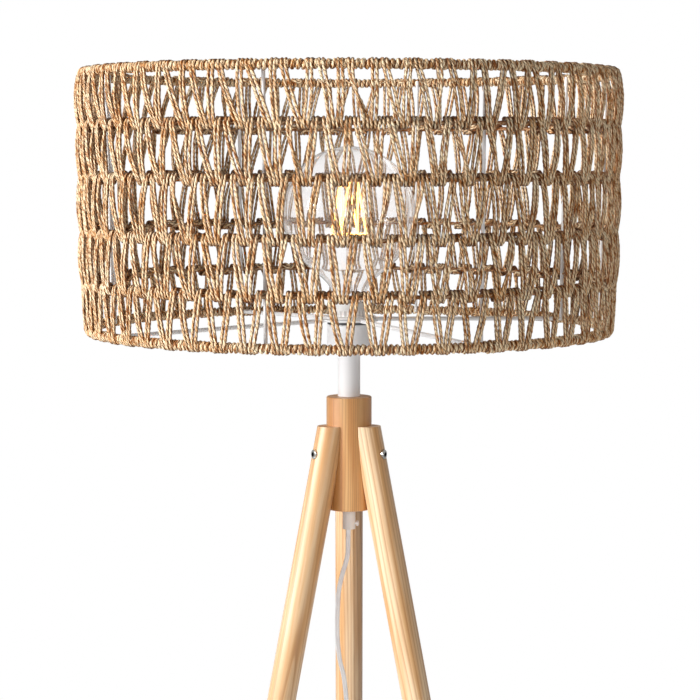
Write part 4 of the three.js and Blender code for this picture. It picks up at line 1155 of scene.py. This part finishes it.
class LAMP_OT_weave(bpy.types.Operator):
    """Adds the five woven tiers, the ropes inside their bands and the wound rims."""

    bl_idname = "lamp.weave"
    bl_label = "Weave"

    def execute(self, context):
        sizes = context.scene.lamp_sizes
        twine = twine_finish("Twisted twine")
        along_route, round_ring = route_recipe(), winding_recipe()
        rng = random.Random(41)
        for tier in range(5):
            loops = loops_mesh("Route", tier_strands(tier, sizes.repeats, rng))
            mesh = cooked(f"Tier {tier + 1}", loops, along_route, {
                "Diameter": sizes.strand_diameter, "Lay Length": sizes.lay_length,
                "Seed": 0.37 * tier, "Material": twine,
            })
            finished(f"woven_tier_{tier + 1}", mesh, None, "shade", "twine", f"weave_tier_{tier + 1}")
        # Half of the ropes' colour is painted shade, as they lie in the bands and under the rim windings.
        rope = twine_finish("Band rope", plies=3, shade=0.5)
        for i, share in enumerate(BAND_SHARES[1:-1]):
            route = loops_mesh("Route", [rope_route(Band(share), i)])
            mesh = cooked(f"Band rope {i + 1}", route, along_route, {
                "Diameter": sizes.core_diameter, "Lay Length": 13 * MM, "Step": 1.6 * MM, "Plies": 3.0,
                "Sides": 12, "Groove Depth": 0.35, "Seed": 2.0 + i, "Material": rope,
            })
            finished(f"band_rope_{i + 1}", mesh, None, "shade", "twine")
        for i, name in enumerate(RINGS):
            radius, height = RING_RADIUS[name], RING_HEIGHT[name]
            mesh = cooked(f"{name} winding", mesh_from("Start", [(0, 0, 0)]), round_ring, {
                "Ring Radius": radius, "Height": height, "Seed": 5.0 + i, "Knot Place": KNOT_PLACES[name],
                "Material": twine,
            })
            finished(f"{name}_winding", mesh, None, "shade", "twine", f"{name}_binding")
            turns = [FULL_TURN * j / LINING_SIDES for j in range(LINING_SIDES + 1)]
            circle = [polar(LINING_RADIUS * MM, angle) for angle in turns]
            lining = [(radius + across, height + over) for across, over in circle]
            mesh = turned(f"{name} lining", lining, 160, degrees=75)
            finished(f"{name}_lining", mesh, rope, "shade", "twine")
        return {"FINISHED"}


class LAMP_PT_sidebar(bpy.types.Panel):
    """Lists the lamp's settings and pieces."""

    bl_idname = "LAMP_PT_sidebar"
    bl_label = "Floor Lamp"
    bl_space_type = "VIEW_3D"
    bl_region_type = "UI"
    bl_category = "Floor Lamp"

    def draw(self, context):
        layout = self.layout
        for group in (context.scene.lamp_sizes, context.scene.lamp_look):
            box = layout.box()
            for name in group.__annotations__:
                box.prop(group, name)
        for operator in OPERATORS:
            layout.operator(operator.bl_idname)


OPERATORS = (
    LAMP_OT_stage, LAMP_OT_cord_fittings, LAMP_OT_cords, LAMP_OT_wood, LAMP_OT_fixings, LAMP_OT_white_parts,
    LAMP_OT_shade_frame, LAMP_OT_bulb, LAMP_OT_weave,
)
CLASSES = (LampSizes, LampLook, *OPERATORS, LAMP_PT_sidebar)


def register():
    for item in CLASSES:
        bpy.utils.register_class(item)
    bpy.types.Scene.lamp_sizes = PointerProperty(type=LampSizes)
    bpy.types.Scene.lamp_look = PointerProperty(type=LampLook)


def unregister():
    del bpy.types.Scene.lamp_sizes, bpy.types.Scene.lamp_look
    for item in reversed(CLASSES):
        bpy.utils.unregister_class(item)


def main():
    register()
    for operator in OPERATORS:
        group, name = operator.bl_idname.split(".")
        getattr(getattr(bpy.ops, group), name)()


if __name__ == "__main__":
    main()
